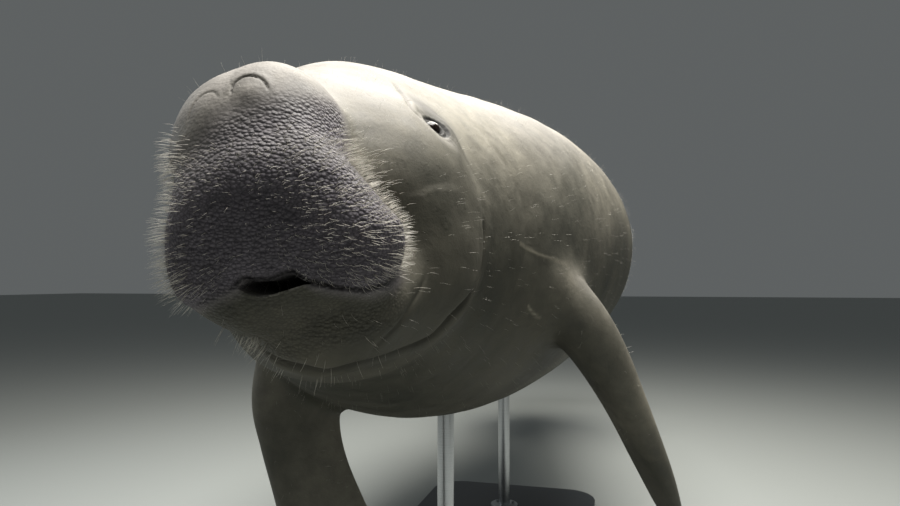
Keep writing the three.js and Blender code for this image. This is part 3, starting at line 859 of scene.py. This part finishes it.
def flipper_solid(name, lead, rows, segments=96, rings=96):
    """A flipper as a closed blade, flared where it enters the body."""
    piece = begin(bpy.ops.mesh.primitive_uv_sphere_add, name, segments=segments, ring_count=rings, radius=1)
    ring, turn = sphere_grid(piece, segments, rings)
    s = ring / rings * (len(rows) - 1)
    at = np.arange(len(rows))
    last = len(rows) - 1

    def value(column):
        return smooth_column(at, column, s)

    middle = np.stack([value(rows[:, k]) for k in range(3)], 1)
    ahead = np.stack([smooth_column(at, rows[:, k], np.minimum(s + 0.05, last)) for k in range(3)], 1)
    behind = np.stack([smooth_column(at, rows[:, k], np.maximum(s - 0.05, 0)) for k in range(3)], 1)
    along = ahead - behind
    along /= np.linalg.norm(along, axis=1)[:, None]
    chord = np.array(lead, float) - along * (along @ np.array(lead, float))[:, None]
    chord /= np.linalg.norm(chord, axis=1)[:, None]
    flat = np.cross(along, chord)
    half, thick = value(rows[:, 3]), value(rows[:, 4])
    closing = np.where(ring == 0, 0.0, np.where(ring == rings, 0.0, 1.0))
    lead_thick = 1 + 0.22 * np.cos(turn)
    across = (np.cos(turn) * half * closing)[:, None]
    over = (-np.sin(turn) * thick * lead_thick * closing)[:, None]
    p = middle + chord * across + flat * over
    p[ring == rings] += along[ring == rings] * TIP_REACH
    place(piece, p)
    edit_all(piece, bpy.ops.mesh.normals_make_consistent, inside=False)
    return piece


def smooth_column(at, values, s):
    """A smooth curve through the values, read at the places s."""
    last = len(at) - 1
    i = np.clip(np.floor(s).astype(int), 0, last - 1)
    t = s - i
    p0, p1, p2, p3 = (values[np.clip(i + k, 0, last)] for k in (-1, 0, 1, 2))
    bend = 2 * p0 - 5 * p1 + 4 * p2 - p3
    twist = 3 * p1 - 3 * p2 + p3 - p0
    return 0.5 * (2 * p1 + (p2 - p0) * t + bend * t ** 2 + twist * t ** 3)


def flipper_frames(lead, rows):
    middles = [Vector(row[:3]) for row in rows]
    frames = []
    for k, middle in enumerate(middles):
        along = (middles[min(k + 1, len(rows) - 1)] - middles[max(k - 1, 0)]).normalized()
        chord = Vector(lead)
        chord = (chord - along * chord.dot(along)).normalized()
        frames.append((middle, along, chord, along.cross(chord)))
    return frames


def soften_muzzle(piece):
    """Rounds the pad's edges and the valley behind the cheeks, more than the field's fillets do."""
    p = coordinates(piece)
    pad = smooth((118 - p[:, 1]) / 40) * smooth((p[:, 2] + 34) / 30) * smooth((104 - p[:, 2]) / 30)
    neck = bell((p[:, 1] - 310) / 62, 1.0) * bell((p[:, 2] - 15) / 85, 1.0) * smooth((np.abs(p[:, 0]) - 90) / 40)
    relax(piece, np.maximum(pad, neck), 26, 0.7)


def soften_seam(piece, reach=46):
    """Rounds the crease between faces of different material slots."""
    data = piece.data
    n = len(data.vertices)
    slots = np.empty(len(data.polygons), int)
    data.polygons.foreach_get("material_index", slots)
    loops = np.empty(len(data.loops), int)
    data.loops.foreach_get("vertex_index", loops)
    sizes = np.empty(len(data.polygons), int)
    data.polygons.foreach_get("loop_total", sizes)
    owner = np.repeat(slots, sizes)
    low, high = np.full(n, 9), np.zeros(n, int)
    np.minimum.at(low, loops, owner)
    np.maximum.at(high, loops, owner)
    seam = np.nonzero((low == 0) & (high == 1))[0]
    if len(seam) == 0:
        raise RuntimeError("the flippers do not meet the body")
    p = coordinates(piece)
    tree = KDTree(len(seam))
    for i, k in enumerate(seam):
        tree.insert(p[k], i)
    tree.balance()
    near = np.nonzero((p[:, 1] > 380) & (p[:, 1] < 760) & (p[:, 2] < 60))[0]
    weight = np.zeros(n)
    for k in near:
        weight[k] = math.exp(-(tree.find(p[k])[2] / reach) ** 2)
    weight[weight < 0.02] = 0
    relax(piece, weight, 70, 0.6)


def mouth_cutter():
    """The gap between the lips, where the mouth stands a little open."""
    lid = [(x, z + 0.4) for x, z in LIP_LINE if -43 <= x <= 20]
    profile = lid + MOUTH_SILL
    n = len(profile)
    points = [(x, -40, z) for x, z in profile]
    points += [(x * 0.8 - 4, MOUTH_BACK, -54 + (z + 54) * 0.5) for x, z in profile]
    points += [(-14, -40, -54), (-14, MOUTH_BACK, -54)]
    faces = []
    for i in range(n):
        j = (i + 1) % n
        faces += [(i, j, n + j), (i, n + j, n + i), (2 * n, j, i), (2 * n + 1, n + i, n + j)]
    cutter = mesh_from_arrays("mouth_gap", points, faces)
    edit_all(cutter, bpy.ops.mesh.normals_make_consistent, inside=False)
    return cutter


def unwrap(p):
    """The skin's own unwrap: how far along the body, and how far round it."""
    back = np.clip((p[:, 1] - 150) / (BODY_LENGTH - 150), 0, 1)
    q = p - HEAD_FOCUS
    fan = np.arccos(np.clip(-q[:, 1] / np.maximum(np.linalg.norm(q, axis=1), 1e-6), -1, 1)) / (math.pi / 2)
    along = np.where(p[:, 1] < 150, 0.18 * np.clip(fan, 0, 1), 0.18 + 0.8 * back)
    around = (np.arctan2(p[:, 2], p[:, 0]) / (2 * math.pi)) % 1.0
    return np.stack([0.01 + 0.98 * along, 0.01 + 0.98 * around], 1)


def pad_depth(p):
    """How far back on the muzzle's pad, 0 on its front and 82 on its back edge."""
    rise = p[:, 2] - DISC_SLOPE[2]
    return p[:, 1] - DISC_SLOPE[0] * np.maximum(-rise, 0) - DISC_SLOPE[1] * np.maximum(rise, 0) ** 2


def over_lip(p):
    """Height over the line of the mouth."""
    return p[:, 2] - np.interp(p[:, 0], LIP_LINE[:, 0], LIP_LINE[:, 1])


def zones(p, normal):
    """Muzzle, painted top light, painted shade and scars, then pebbles and painted underside shade, each 0 to 1."""
    z = p[:, 2]
    ahead = pad_depth(p)
    pad = smooth((108 - ahead) / 44) * smooth((over_lip(p) + 16) / 20) * (p[:, 1] < 200)
    crown = z - 66 + 22 * smooth(-p[:, 0] / 60)
    pad *= 1 - 0.8 * smooth(crown / 60)
    pebbled = smooth((88 - ahead) / 18) * smooth((over_lip(p) + 8) / 8) * (1 - 0.9 * smooth((crown - 4) / 40))
    jaw = 0.6 * smooth((120 - p[:, 1]) / 40) * smooth((-over_lip(p)) / 10) * smooth((z + 130) / 20)
    pebbled = np.maximum(pebbled, jaw)
    # painted light: the skin is paler the more it faces up, as if lit from above
    top = smooth((normal[:, 2] - 0.05) / 0.85)
    sky = 0.50 * top + 0.08 * lumps(p, 160, 9) * top
    # painted shade: skin that faces down, and the face's cheeks more, is darkened as if the light from above missed it
    face = smooth((520 - p[:, 1]) / 260)
    under = smooth((0.22 + 0.3 * face - normal[:, 2]) / (1.0 - 0.25 * face)) * (1 - pad)
    dark = np.zeros(len(p))
    for side in (1, -1):
        _, _, near = eye_rho(p, side)
        u, v, _ = local(p, eye_frame(side))
        # painted shade: the eye's pit and the hollow round it, forwards and up under the brow, are darkened as in
        # shadow
        socket = 0.985 * smooth((1.7 - np.hypot((u - 4) / 14, (v - 2) / 11)) / 0.5)
        painted_hollow_shade = 0.8 * bell(np.hypot((u - 8) / 24, (v - 10) / 27), 1.0)
        painted_hollow_shade = np.maximum(painted_hollow_shade, 0.72 * smooth((1.35 - np.hypot((u - 26) / 38, (v - 30) / 42)) / 0.9))
        dark = np.maximum(dark, near * np.maximum(socket, painted_hollow_shade))
        off, _, arc, _ = nostril_arc(p, side)
        # painted shade in the closed nostril's crescent
        dark = np.maximum(dark, (0.6 if side > 0 else 0.15) * bell(off, 1.1) * arc)
    # painted shade along the seam of the lips and in the mouth's corner
    dark = np.maximum(dark, 0.75 * bell(lip_distance(p), 2.4) * lip_depth(p))
    corner = np.hypot((p[:, 0] - MOUTH_CORNER[0]) / 7, (z - MOUTH_CORNER[1]) / 3)
    dark = np.maximum(dark, 0.9 * bell(corner, 1.0) * (p[:, 1] < 60))
    # painted shade along the creases, deeper ones darker
    for depth, width, points in CREASES:
        line = on_skin_line(points)
        dark = np.maximum(dark, 0.12 * depth * bell(line_distance(p, line), width) * line_fade(p, line))
    # painted shade: deep inside the mouth's gap the skin is near black
    dark = np.maximum(dark, 0.97 * smooth((-body(p) - 7) / 5) * (p[:, 1] < 170))
    scar = np.zeros(len(p))
    for points in SCARS:
        scar = np.maximum(scar, bell(line_distance(p, on_skin_line(points)), 1.8))
    first = np.clip(np.stack([pad, sky, dark, scar], 1), 0, 1)
    second = np.clip(np.stack([pebbled, under, 0 * pad, 1 + 0 * pad], 1), 0, 1)
    return first, second


class MANATEE_OT_skin(bpy.types.Operator):
    """One closed skin over the whole animal, flippers and tail paddle included"""

    bl_idname = "manatee.skin"
    bl_label = "Skin"

    def execute(self, context):
        segments = context.scene.manatee_skin.segments
        rings = HEAD_RINGS + CHEEK_RINGS + BODY_RINGS + PADDLE_RINGS
        skin = begin(bpy.ops.mesh.primitive_uv_sphere_add, "skin",
                     segments=segments, ring_count=rings, radius=1)
        ring, turn = sphere_grid(skin, segments, rings)
        place(skin, cast(*skin_rays(ring, turn)))
        soften_muzzle(skin)

        eyes = [eye_frame(side)[0] for side in (1, -1)]
        noses = [nostril_frame(side)[0] for side in (1, -1)]

        def away(p, centres):
            return np.min([np.linalg.norm(p - c, axis=1) for c in centres], 0)

        subdivide_near(skin, lambda p: away(p, eyes) < 44)
        subdivide_near(skin, lambda p: away(p, eyes) < 26)
        subdivide_near(skin, lambda p: away(p, noses) < 30)
        subdivide_near(skin, lambda p: (lip_distance(p) < 7) & (p[:, 1] < 120) & (p[:, 2] < -36))
        lines = [on_skin_line(points) for points in [c[2] for c in CREASES] + list(SCARS)]
        subdivide_near(skin, lambda p: np.min([line_distance(p, line) for line in lines], 0) < 9)

        p = coordinates(skin)
        normal = body_normal(p)
        place(skin, p + normal * relief(p)[:, None])

        # two slots tell the trunk's faces from the flippers' till their seam is soft
        slots = [bpy.data.materials.new(name) for name in ("trunk_slot", "flipper_slot")]
        for slot in slots:
            skin.data.materials.append(slot)
        for name, (lead, rows) in (("left_blade", LEFT_FLIPPER), ("right_blade", RIGHT_FLIPPER)):
            blade = flipper_solid(name, lead, rows)
            for slot in slots:
                blade.data.materials.append(slot)
            blade.data.polygons.foreach_set("material_index", np.ones(len(blade.data.polygons), int))
            join_or_cut(skin, blade, "UNION")
        soften_seam(skin)
        join_or_cut(skin, mouth_cutter(), "DIFFERENCE")
        edit_all(skin, bpy.ops.mesh.quads_convert_to_tris, quad_method="BEAUTY", ngon_method="BEAUTY")

        p = coordinates(skin)
        normals = np.empty(len(p) * 3)
        skin.data.vertices.foreach_get("normal", normals)
        for name, values in zip(("zone", "surface"), zones(p, normals.reshape(-1, 3))):
            layer = skin.data.attributes.new(name, "FLOAT_COLOR", "POINT")
            layer.data.foreach_set("color", values.ravel())
        rest = skin.data.attributes.new("rest", "FLOAT_VECTOR", "POINT")
        rest.data.foreach_set("vector", p.ravel())
        loops = np.empty(len(skin.data.loops), int)
        skin.data.loops.foreach_get("vertex_index", loops)
        layer = skin.data.uv_layers.new(name="OFBake") if not skin.data.uv_layers else skin.data.uv_layers[0]
        layer.name = "OFBake"
        uv = unwrap(p)[loops].reshape(-1, 3, 2)
        # faces on the seam stay whole past its edge
        split = uv[:, :, 1].max(1) - uv[:, :, 1].min(1) > 0.5
        uv[split, :, 1] = np.where(uv[split, :, 1] < 0.5, uv[split, :, 1] + 0.98, uv[split, :, 1])
        layer.data.foreach_set("uv", uv.ravel())
        place(skin, pose(p))
        round_shading(skin)
        skin.data.polygons.foreach_set("material_index", np.zeros(len(skin.data.polygons), int))
        dress(skin, skin_material(context.scene.manatee_skin), "skin", "muzzle", "lower_jaw", "head", "neck",
              "chest", "belly", "tail_stock", "tail_paddle", "left_flipper", "right_flipper")
        for slot in slots:
            bpy.data.materials.remove(slot)
        return {"FINISHED"}


class MANATEE_OT_eyes(bpy.types.Operator):
    """Two small dark eyes, deep between their lids"""

    bl_idname = "manatee.eyes"
    bl_label = "Eyes"

    def execute(self, context):
        material = eye_material()
        for name, side in (("left_eye", 1), ("right_eye", -1)):
            skin, along, up, out = eye_frame(side)
            ball = begin(bpy.ops.mesh.primitive_uv_sphere_add, name + "_ball",
                         segments=48, ring_count=32, radius=1)
            p = coordinates(ball)
            bulge = 1 + 0.06 * bell(np.arccos(np.clip(p[:, 2], -1, 1)), 0.5)
            centre = skin - out * (EYEBALL_RADIUS - EYEBALL_STANDS)
            basis = np.stack([np.cross(up, out), up, out], 0)
            place(ball, pose(centre + (p * bulge[:, None] * EYEBALL_RADIUS) @ basis))
            round_shading(ball)
            dress(ball, material, "eye", name)
        return {"FINISHED"}


class MANATEE_OT_nails(bpy.types.Operator):
    """Three small nails at the tip of each flipper"""

    bl_idname = "manatee.nails"
    bl_label = "Nails"

    def execute(self, context):
        material = horn_material()
        for word, side, (lead, rows) in (("left", 1, LEFT_FLIPPER), ("right", -1, RIGHT_FLIPPER)):
            middle, along, chord, flat = flipper_frames(lead, rows)[-3]
            outer = flat if flat.x * side > 0 else -flat
            first = outer.cross(along)
            for k, across in enumerate(NAIL_ACROSS):
                towards_tip = along * (26 - 0.012 * across * across)
                at = middle + chord * across + towards_tip + outer * (rows[-3][4] * 0.78)
                nail = begin(bpy.ops.mesh.primitive_uv_sphere_add, f"{word}_nail_{k + 1}_plate",
                             segments=24, ring_count=16, radius=1)
                p = coordinates(nail)
                # a plate: flat underneath, arched across, its free edge square
                p[:, 1] *= 0.75 + 0.25 * p[:, 1]
                p[:, 0] *= 1 + 0.15 * p[:, 2]
                basis = np.array([first, outer, along]) * np.array(NAIL_HALF)[:, None]
                place(nail, pose(np.array(at) + p @ basis))
                round_shading(nail)
                dress(nail, material, "nail", f"{word}_nail_{k + 1}")
        return {"FINISHED"}


# Hair

ROOT_DEPTH = 1.2     # how far a hair starts under the skin
BAKE_PATCH = 0.003   # side of a hair's patch on the unwrap


def skin_samples(count, density, seed):
    """Seeded roots on the skin in the straight frame, thicker where the density is higher."""
    data = bpy.data.objects["skin"].data
    p = np.empty(len(data.vertices) * 3)
    data.attributes["rest"].data.foreach_get("vector", p)
    p = p.reshape(-1, 3)
    tri = np.empty(len(data.loops), int)
    data.loops.foreach_get("vertex_index", tri)
    tri = tri.reshape(-1, 3)
    # the boolean leaves the triangles in another order on each run, so they are put in order of place
    start = np.argmin(p[tri] @ np.array([1.0, 0.37, 0.71]), axis=1)
    tri = np.take_along_axis(tri, (start[:, None] + np.arange(3)) % 3, axis=1)
    tri = tri[np.lexsort(np.round(p[tri].mean(1), 3).T)]
    a, b, c = p[tri[:, 0]], p[tri[:, 1]], p[tri[:, 2]]
    cross = np.cross(b - a, c - a)
    area = np.linalg.norm(cross, axis=1) / 2
    centre = (a + b + c) / 3
    normal = cross / np.maximum(2 * area, 1e-9)[:, None]
    weight = area * density(centre, normal)
    rng = np.random.default_rng(seed)
    pick = rng.choice(len(tri), count, p=weight / weight.sum())
    u, v = rng.random(count), rng.random(count)
    flip = u + v > 1
    u, v = np.where(flip, 1 - u, u), np.where(flip, 1 - v, v)
    root = a[pick] + (b - a)[pick] * u[:, None] + (c - a)[pick] * v[:, None]
    return root, normal[pick], rng


def unit(v):
    return v / np.maximum(np.linalg.norm(v, axis=1), 1e-9)[:, None]


def hairs(name, root, out, way, length, radius, curl, material, sides=3, joints=4):
    """Tapering curved hairs as one joined mesh. They leave along `out` and bend towards `way`."""
    n = len(root)
    t = np.linspace(0, 1, joints + 1)
    out, way = unit(out), unit(way)
    here = root - out * ROOT_DEPTH
    points = [here]
    for k in range(joints):
        bend = curl * (k + 0.5) / joints
        here = here + unit(out * (1 - bend)[:, None] + way * bend[:, None]) * (length / joints)[:, None]
        points.append(here)
    side = unit(np.cross(out, way + [0.01, 0.02, 0.03]))
    up = unit(np.cross(side, out))
    rows = []
    for k in range(joints + 1):
        size = radius * (1 - 0.85 * t[k])
        for s in range(sides):
            a = 2 * math.pi * s / sides
            rows.append(points[k] + (side * math.cos(a) + up * math.sin(a)) * size[:, None])
    p = np.stack(rows, 1)
    each = p.shape[1]
    triangles = []
    for k in range(joints):
        for s in range(sides):
            e = (s + 1) % sides
            low, low_next, high, high_next = k * sides + s, k * sides + e, (k + 1) * sides + s, (k + 1) * sides + e
            triangles += [[low, high_next, low_next], [low, high, high_next]]
    last = joints * sides
    triangles += [[last, last + 2, last + 1], [0, 1, 2]]
    triangles = np.array(triangles)[:, ::-1]
    faces = (triangles[None] + (np.arange(n) * each)[:, None, None]).reshape(-1, 3)
    piece = mesh_from_arrays(name, pose(p.reshape(-1, 3)), faces)
    along = piece.data.attributes.new("along", "FLOAT", "POINT")
    along.data.foreach_set("value", np.tile(np.repeat(t, sides), n))
    layer = piece.data.uv_layers.new(name="OFBake")
    spot = unwrap(root)
    patch = np.stack([np.repeat(t, sides), np.tile(np.arange(sides) / sides, joints + 1)], 1) * BAKE_PATCH
    uv = (spot[:, None] + patch[None]).reshape(-1, 2)
    layer.data.foreach_set("uv", uv[faces.ravel()].ravel())
    round_shading(piece)
    dress(piece, material, "skin")
    return piece


class MANATEE_OT_bristles(bpy.types.Operator):
    """Stiff pale bristles on the lips and chin"""

    bl_idname = "manatee.bristles"
    bl_label = "Bristles"

    def execute(self, context):
        settings = context.scene.manatee_hair
        material = bristle_material("pale_bristle", "#8f887c", "#d8d2c6")

        def density(p, normal):
            x, y, z = p[:, 0], p[:, 1], p[:, 2]
            top_edge = 84 + 44 * smooth((-x - 25) / 40)
            pad = smooth((140 - y) / 30) * smooth((z + 88) / 14) * smooth((top_edge - z) / 40)
            out = np.hypot((x + 12) / 96, (z - 5) / 95)
            edge = smooth((out - np.where(x > 0, 0.1, 0.3)) / 0.6)
            return pad * (0.25 + edge) * smooth((over_lip(p) - 1) / 4) * (body(p) > -3)

        root, normal, rng = skin_samples(settings.muzzle_count, density, 21)
        n = len(root)
        side = np.tanh((root[:, 0] + 14) / 9)[:, None]
        way = side * np.array([[1.0, 0.25, 0.0]]) + np.array([[0, 0, -0.28]]) + rng.normal(size=(n, 3)) * 0.2
        grow = smooth((np.abs(root[:, 0] + 14) - 30) / 60)
        length = rng.uniform(6, 9.5, n) + rng.uniform(2, 8, n) * grow + 4 * smooth((-root[:, 0] - 50) / 40)
        radius = np.full(n, settings.bristle_radius * 1000) * rng.uniform(0.75, 1.2, n)
        curl = np.where(root[:, 0] > 0, rng.uniform(0.75, 1.0, n), rng.uniform(0.2, 0.75, n))
        out = normal + rng.normal(size=(n, 3)) * 0.15
        hairs("muzzle_bristles", root, out, way, length, radius, curl, material)

        def corners(p, normal):
            x, y, z = p[:, 0], p[:, 1], p[:, 2]
            right = 0.5 * bell(x + 68, 14) * bell(z + 92, 14)
            left = 0.15 * bell(x - 90, 12) * bell(z + 84, 10)
            chin = 0.05 * bell(np.abs(x) - 30, 40) * bell(z + 120, 30)
            return (right + left + chin) * (y < 170) * (normal[:, 1] < 0.2) * (body(p) > -3)

        root, normal, rng = skin_samples(settings.corner_count, corners, 22)
        n = len(root)
        way = np.sign(root[:, 0])[:, None] * np.array([[0.8, 0, 0]]) + np.array([[0, -0.2, -0.9]])
        way = way + rng.normal(size=(n, 3)) * 0.2
        length = rng.uniform(10, 22, n)
        radius = np.full(n, settings.bristle_radius * 1250)
        hairs("lip_corner_bristles", root, normal, way, length, radius, rng.uniform(0.3, 0.7, n), material)
        return {"FINISHED"}


class MANATEE_OT_body_hairs(bpy.types.Operator):
    """Single fine hairs, far apart, all over the body and close on the face"""

    bl_idname = "manatee.body_hairs"
    bl_label = "Body hairs"

    def execute(self, context):
        settings = context.scene.manatee_hair
        material = bristle_material("fine_body_hair", "#9c978b", "#e4dfd4")

        def density(p, normal):
            return np.where(p[:, 1] < 330, 1.6, 1.0) * (p[:, 1] < 2700) * (p[:, 2] > -400)

        root, normal, rng = skin_samples(settings.body_count, density, 33)
        n = len(root)
        way = np.array([[0, 1.0, -0.1]]) + rng.normal(size=(n, 3)) * 0.25
        length = rng.uniform(7, 15, n)
        radius = np.full(n, settings.hair_radius * 1000)
        hairs("body_hairs", root, normal, way, length, radius, rng.uniform(0.2, 0.8, n), material, joints=3)
        return {"FINISHED"}


# Stand

def bevelled(piece, width):
    apply_modifier(piece, "BEVEL", width=width, segments=4, limit_method="ANGLE", angle_limit=math.radians(50))


def upright(name, radius, height, x, y, low, vertices=64):
    """A standing cylinder, its sizes in metres."""
    piece = begin(bpy.ops.mesh.primitive_cylinder_add, name, vertices=vertices, radius=radius, depth=height,
                  location=(x, y, low + height / 2))
    return piece


class MANATEE_OT_stand(bpy.types.Operator):
    """A flat base and two steel rods up to the belly"""

    bl_idname = "manatee.stand"
    bl_label = "Stand"

    def execute(self, context):
        low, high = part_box("stand_base")
        centre = [(low[i] + high[i]) / 2 for i in range(3)]
        size = [high[i] - low[i] for i in range(3)]
        base = begin(bpy.ops.mesh.primitive_cube_add, "stand_base_plate", size=1, location=centre, scale=size)
        seat(base)
        z = coordinates(base)[:, 2]
        first, second = pairs(base)
        corners = np.abs(z[first] - z[second]) > size[2] / 2
        edit_some(base, "EDGE", corners, (bpy.ops.mesh.bevel, {"offset": BASE["corner"] / 1000, "segments": 24}))
        bevelled(base, context.scene.manatee_stand.edge)
        round_shading(base, 35)
        dress(base, lacquer_material(), "stand_base", "stand_base")

        steel = steel_material()
        for name, station in zip(("front", "rear"), ROD["stations"]):
            low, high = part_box(f"stand_rod_{name}")
            y = station / 1000
            rod = upright(f"stand_rod_{name}_bar", ROD["radius"] / 1000, high[2] - low[2], 0, y, low[2])
            seat(rod)
            collar_height = ROD["collar_height"] / 1000
            collar = upright("collar", ROD["collar"] / 1000, collar_height, 0, y, low[2])
            seat(collar)
            bevelled(collar, 0.0022)
            parts = [rod, collar]
            for k in range(SCREW["count"]):
                turn = 2 * math.pi * k / SCREW["count"] + 0.5
                across, along = (SCREW["circle"] / 1000 * value for value in (math.cos(turn), math.sin(turn)))
                screw = upright("screw", SCREW["radius"] / 1000, SCREW["height"] / 1000, across, y + along,
                                low[2] + collar_height, 32)
                upper = [face.normal.z > 0.9 for face in screw.data.polygons]
                sink = {"TRANSFORM_OT_translate": {"value": (0, 0, -SCREW["socket"] / 1000)}}
                edit_some(screw, "FACE", upper, (bpy.ops.mesh.inset, {"thickness": SCREW["rim"] / 1000}),
                          (bpy.ops.mesh.extrude_region_move, sink))
                seat(screw)
                parts.append(screw)
            bpy.ops.object.select_all(action="DESELECT")
            for part in parts:
                part.select_set(True)
            bpy.context.view_layer.objects.active = rod
            bpy.ops.object.join()
            round_shading(rod, 35)
            dress(rod, steel, "stand_rod", f"stand_rod_{name}")
        return {"FINISHED"}


# Stage

# Name, place, what it is aimed at, side of its square, power and tint
LIGHTS = (
    ("overhead", (0.30, -0.80, 2.6), (0.06, -0.85, 0.85), 1.4, 105, "#fffdf8"),
    ("back", (0.3, 0.9, 2.7), (0.1, 0.6, 0.8), 1.4, 60, "#fffbf0"),
    ("rim", (-2.2, -0.3, 1.8), (-0.1, -1.0, 0.8), 1.2, 9, "#f4fbff"),
)


class MANATEE_OT_stage(bpy.types.Operator):
    """A pale floor, soft light from above and the camera at the photo's place"""

    bl_idname = "manatee.stage"
    bl_label = "Stage"

    def execute(self, context):
        settings = context.scene.manatee_stage
        floor = begin(bpy.ops.mesh.primitive_plane_add, "floor", size=60, location=(0, 0, 0))
        seat(floor)
        pale = surface(new_material("pale_matt_floor"), Base_Color=linear("#9fa3a1"), Roughness=0.9)
        floor.data.materials.append(pale)

        world = bpy.data.worlds.new("studio")
        context.scene.world = world
        world.use_nodes = True
        sky = world.node_tree.nodes["Background"].inputs
        sky["Color"].default_value = linear("#c6cccd")
        sky["Strength"].default_value = 0.20

        for name, location, aim, size, power, tint in LIGHTS:
            light = bpy.data.lights.new(name, "AREA")
            light.shape = "SQUARE"
            light.size = size
            light.energy = power
            light.color = linear(tint)[:3]
            lamp = bpy.data.objects.new(name, light)
            lamp.location = location
            lamp.rotation_euler = (Vector(aim) - Vector(location)).to_track_quat("-Z", "Y").to_euler()
            context.collection.objects.link(lamp)

        camera = bpy.data.cameras.new("camera")
        camera.sensor_width = 36
        camera.lens = settings.lens
        camera.clip_start = 0.02
        holder = bpy.data.objects.new("camera", camera)
        holder.location = settings.eye_point
        holder.rotation_euler = (math.pi / 2 + settings.pitch, 0, settings.yaw)
        context.collection.objects.link(holder)
        context.scene.camera = holder
        context.scene.view_settings.view_transform = "Standard"
        return {"FINISHED"}


class MANATEE_PT_panel(bpy.types.Panel):
    bl_idname = "MANATEE_PT_panel"
    bl_label = "Manatee"
    bl_space_type = "VIEW_3D"
    bl_region_type = "UI"
    bl_category = "Manatee"

    def draw(self, context):
        for group, operators in PANEL_ROWS:
            box = self.layout.box()
            for operator in operators:
                box.operator(operator.bl_idname)
            settings = getattr(context.scene, group, None)
            if settings:
                for key in settings.__annotations__:
                    box.prop(settings, key)


PANEL_ROWS = (
    ("manatee_skin", (MANATEE_OT_skin, MANATEE_OT_eyes, MANATEE_OT_nails)),
    ("manatee_hair", (MANATEE_OT_bristles, MANATEE_OT_body_hairs)),
    ("manatee_stand", (MANATEE_OT_stand,)),
    ("manatee_stage", (MANATEE_OT_stage,)),
)
GROUPS = {
    "manatee_skin": SkinSettings,
    "manatee_hair": HairSettings,
    "manatee_stand": StandSettings,
    "manatee_stage": StageSettings,
}
CLASSES = tuple(GROUPS.values()) + tuple(o for _, row in PANEL_ROWS for o in row) + (MANATEE_PT_panel,)


def register():
    for cls in CLASSES:
        bpy.utils.register_class(cls)
    for name, group in GROUPS.items():
        setattr(bpy.types.Scene, name, PointerProperty(type=group))


def unregister():
    for name in GROUPS:
        delattr(bpy.types.Scene, name)
    for cls in reversed(CLASSES):
        bpy.utils.unregister_class(cls)


def main():
    register()
    bpy.ops.manatee.stage()
    bpy.ops.manatee.skin()
    bpy.ops.manatee.eyes()
    bpy.ops.manatee.nails()
    bpy.ops.manatee.bristles()
    bpy.ops.manatee.body_hairs()
    bpy.ops.manatee.stand()


if __name__ == "__main__":
    main()
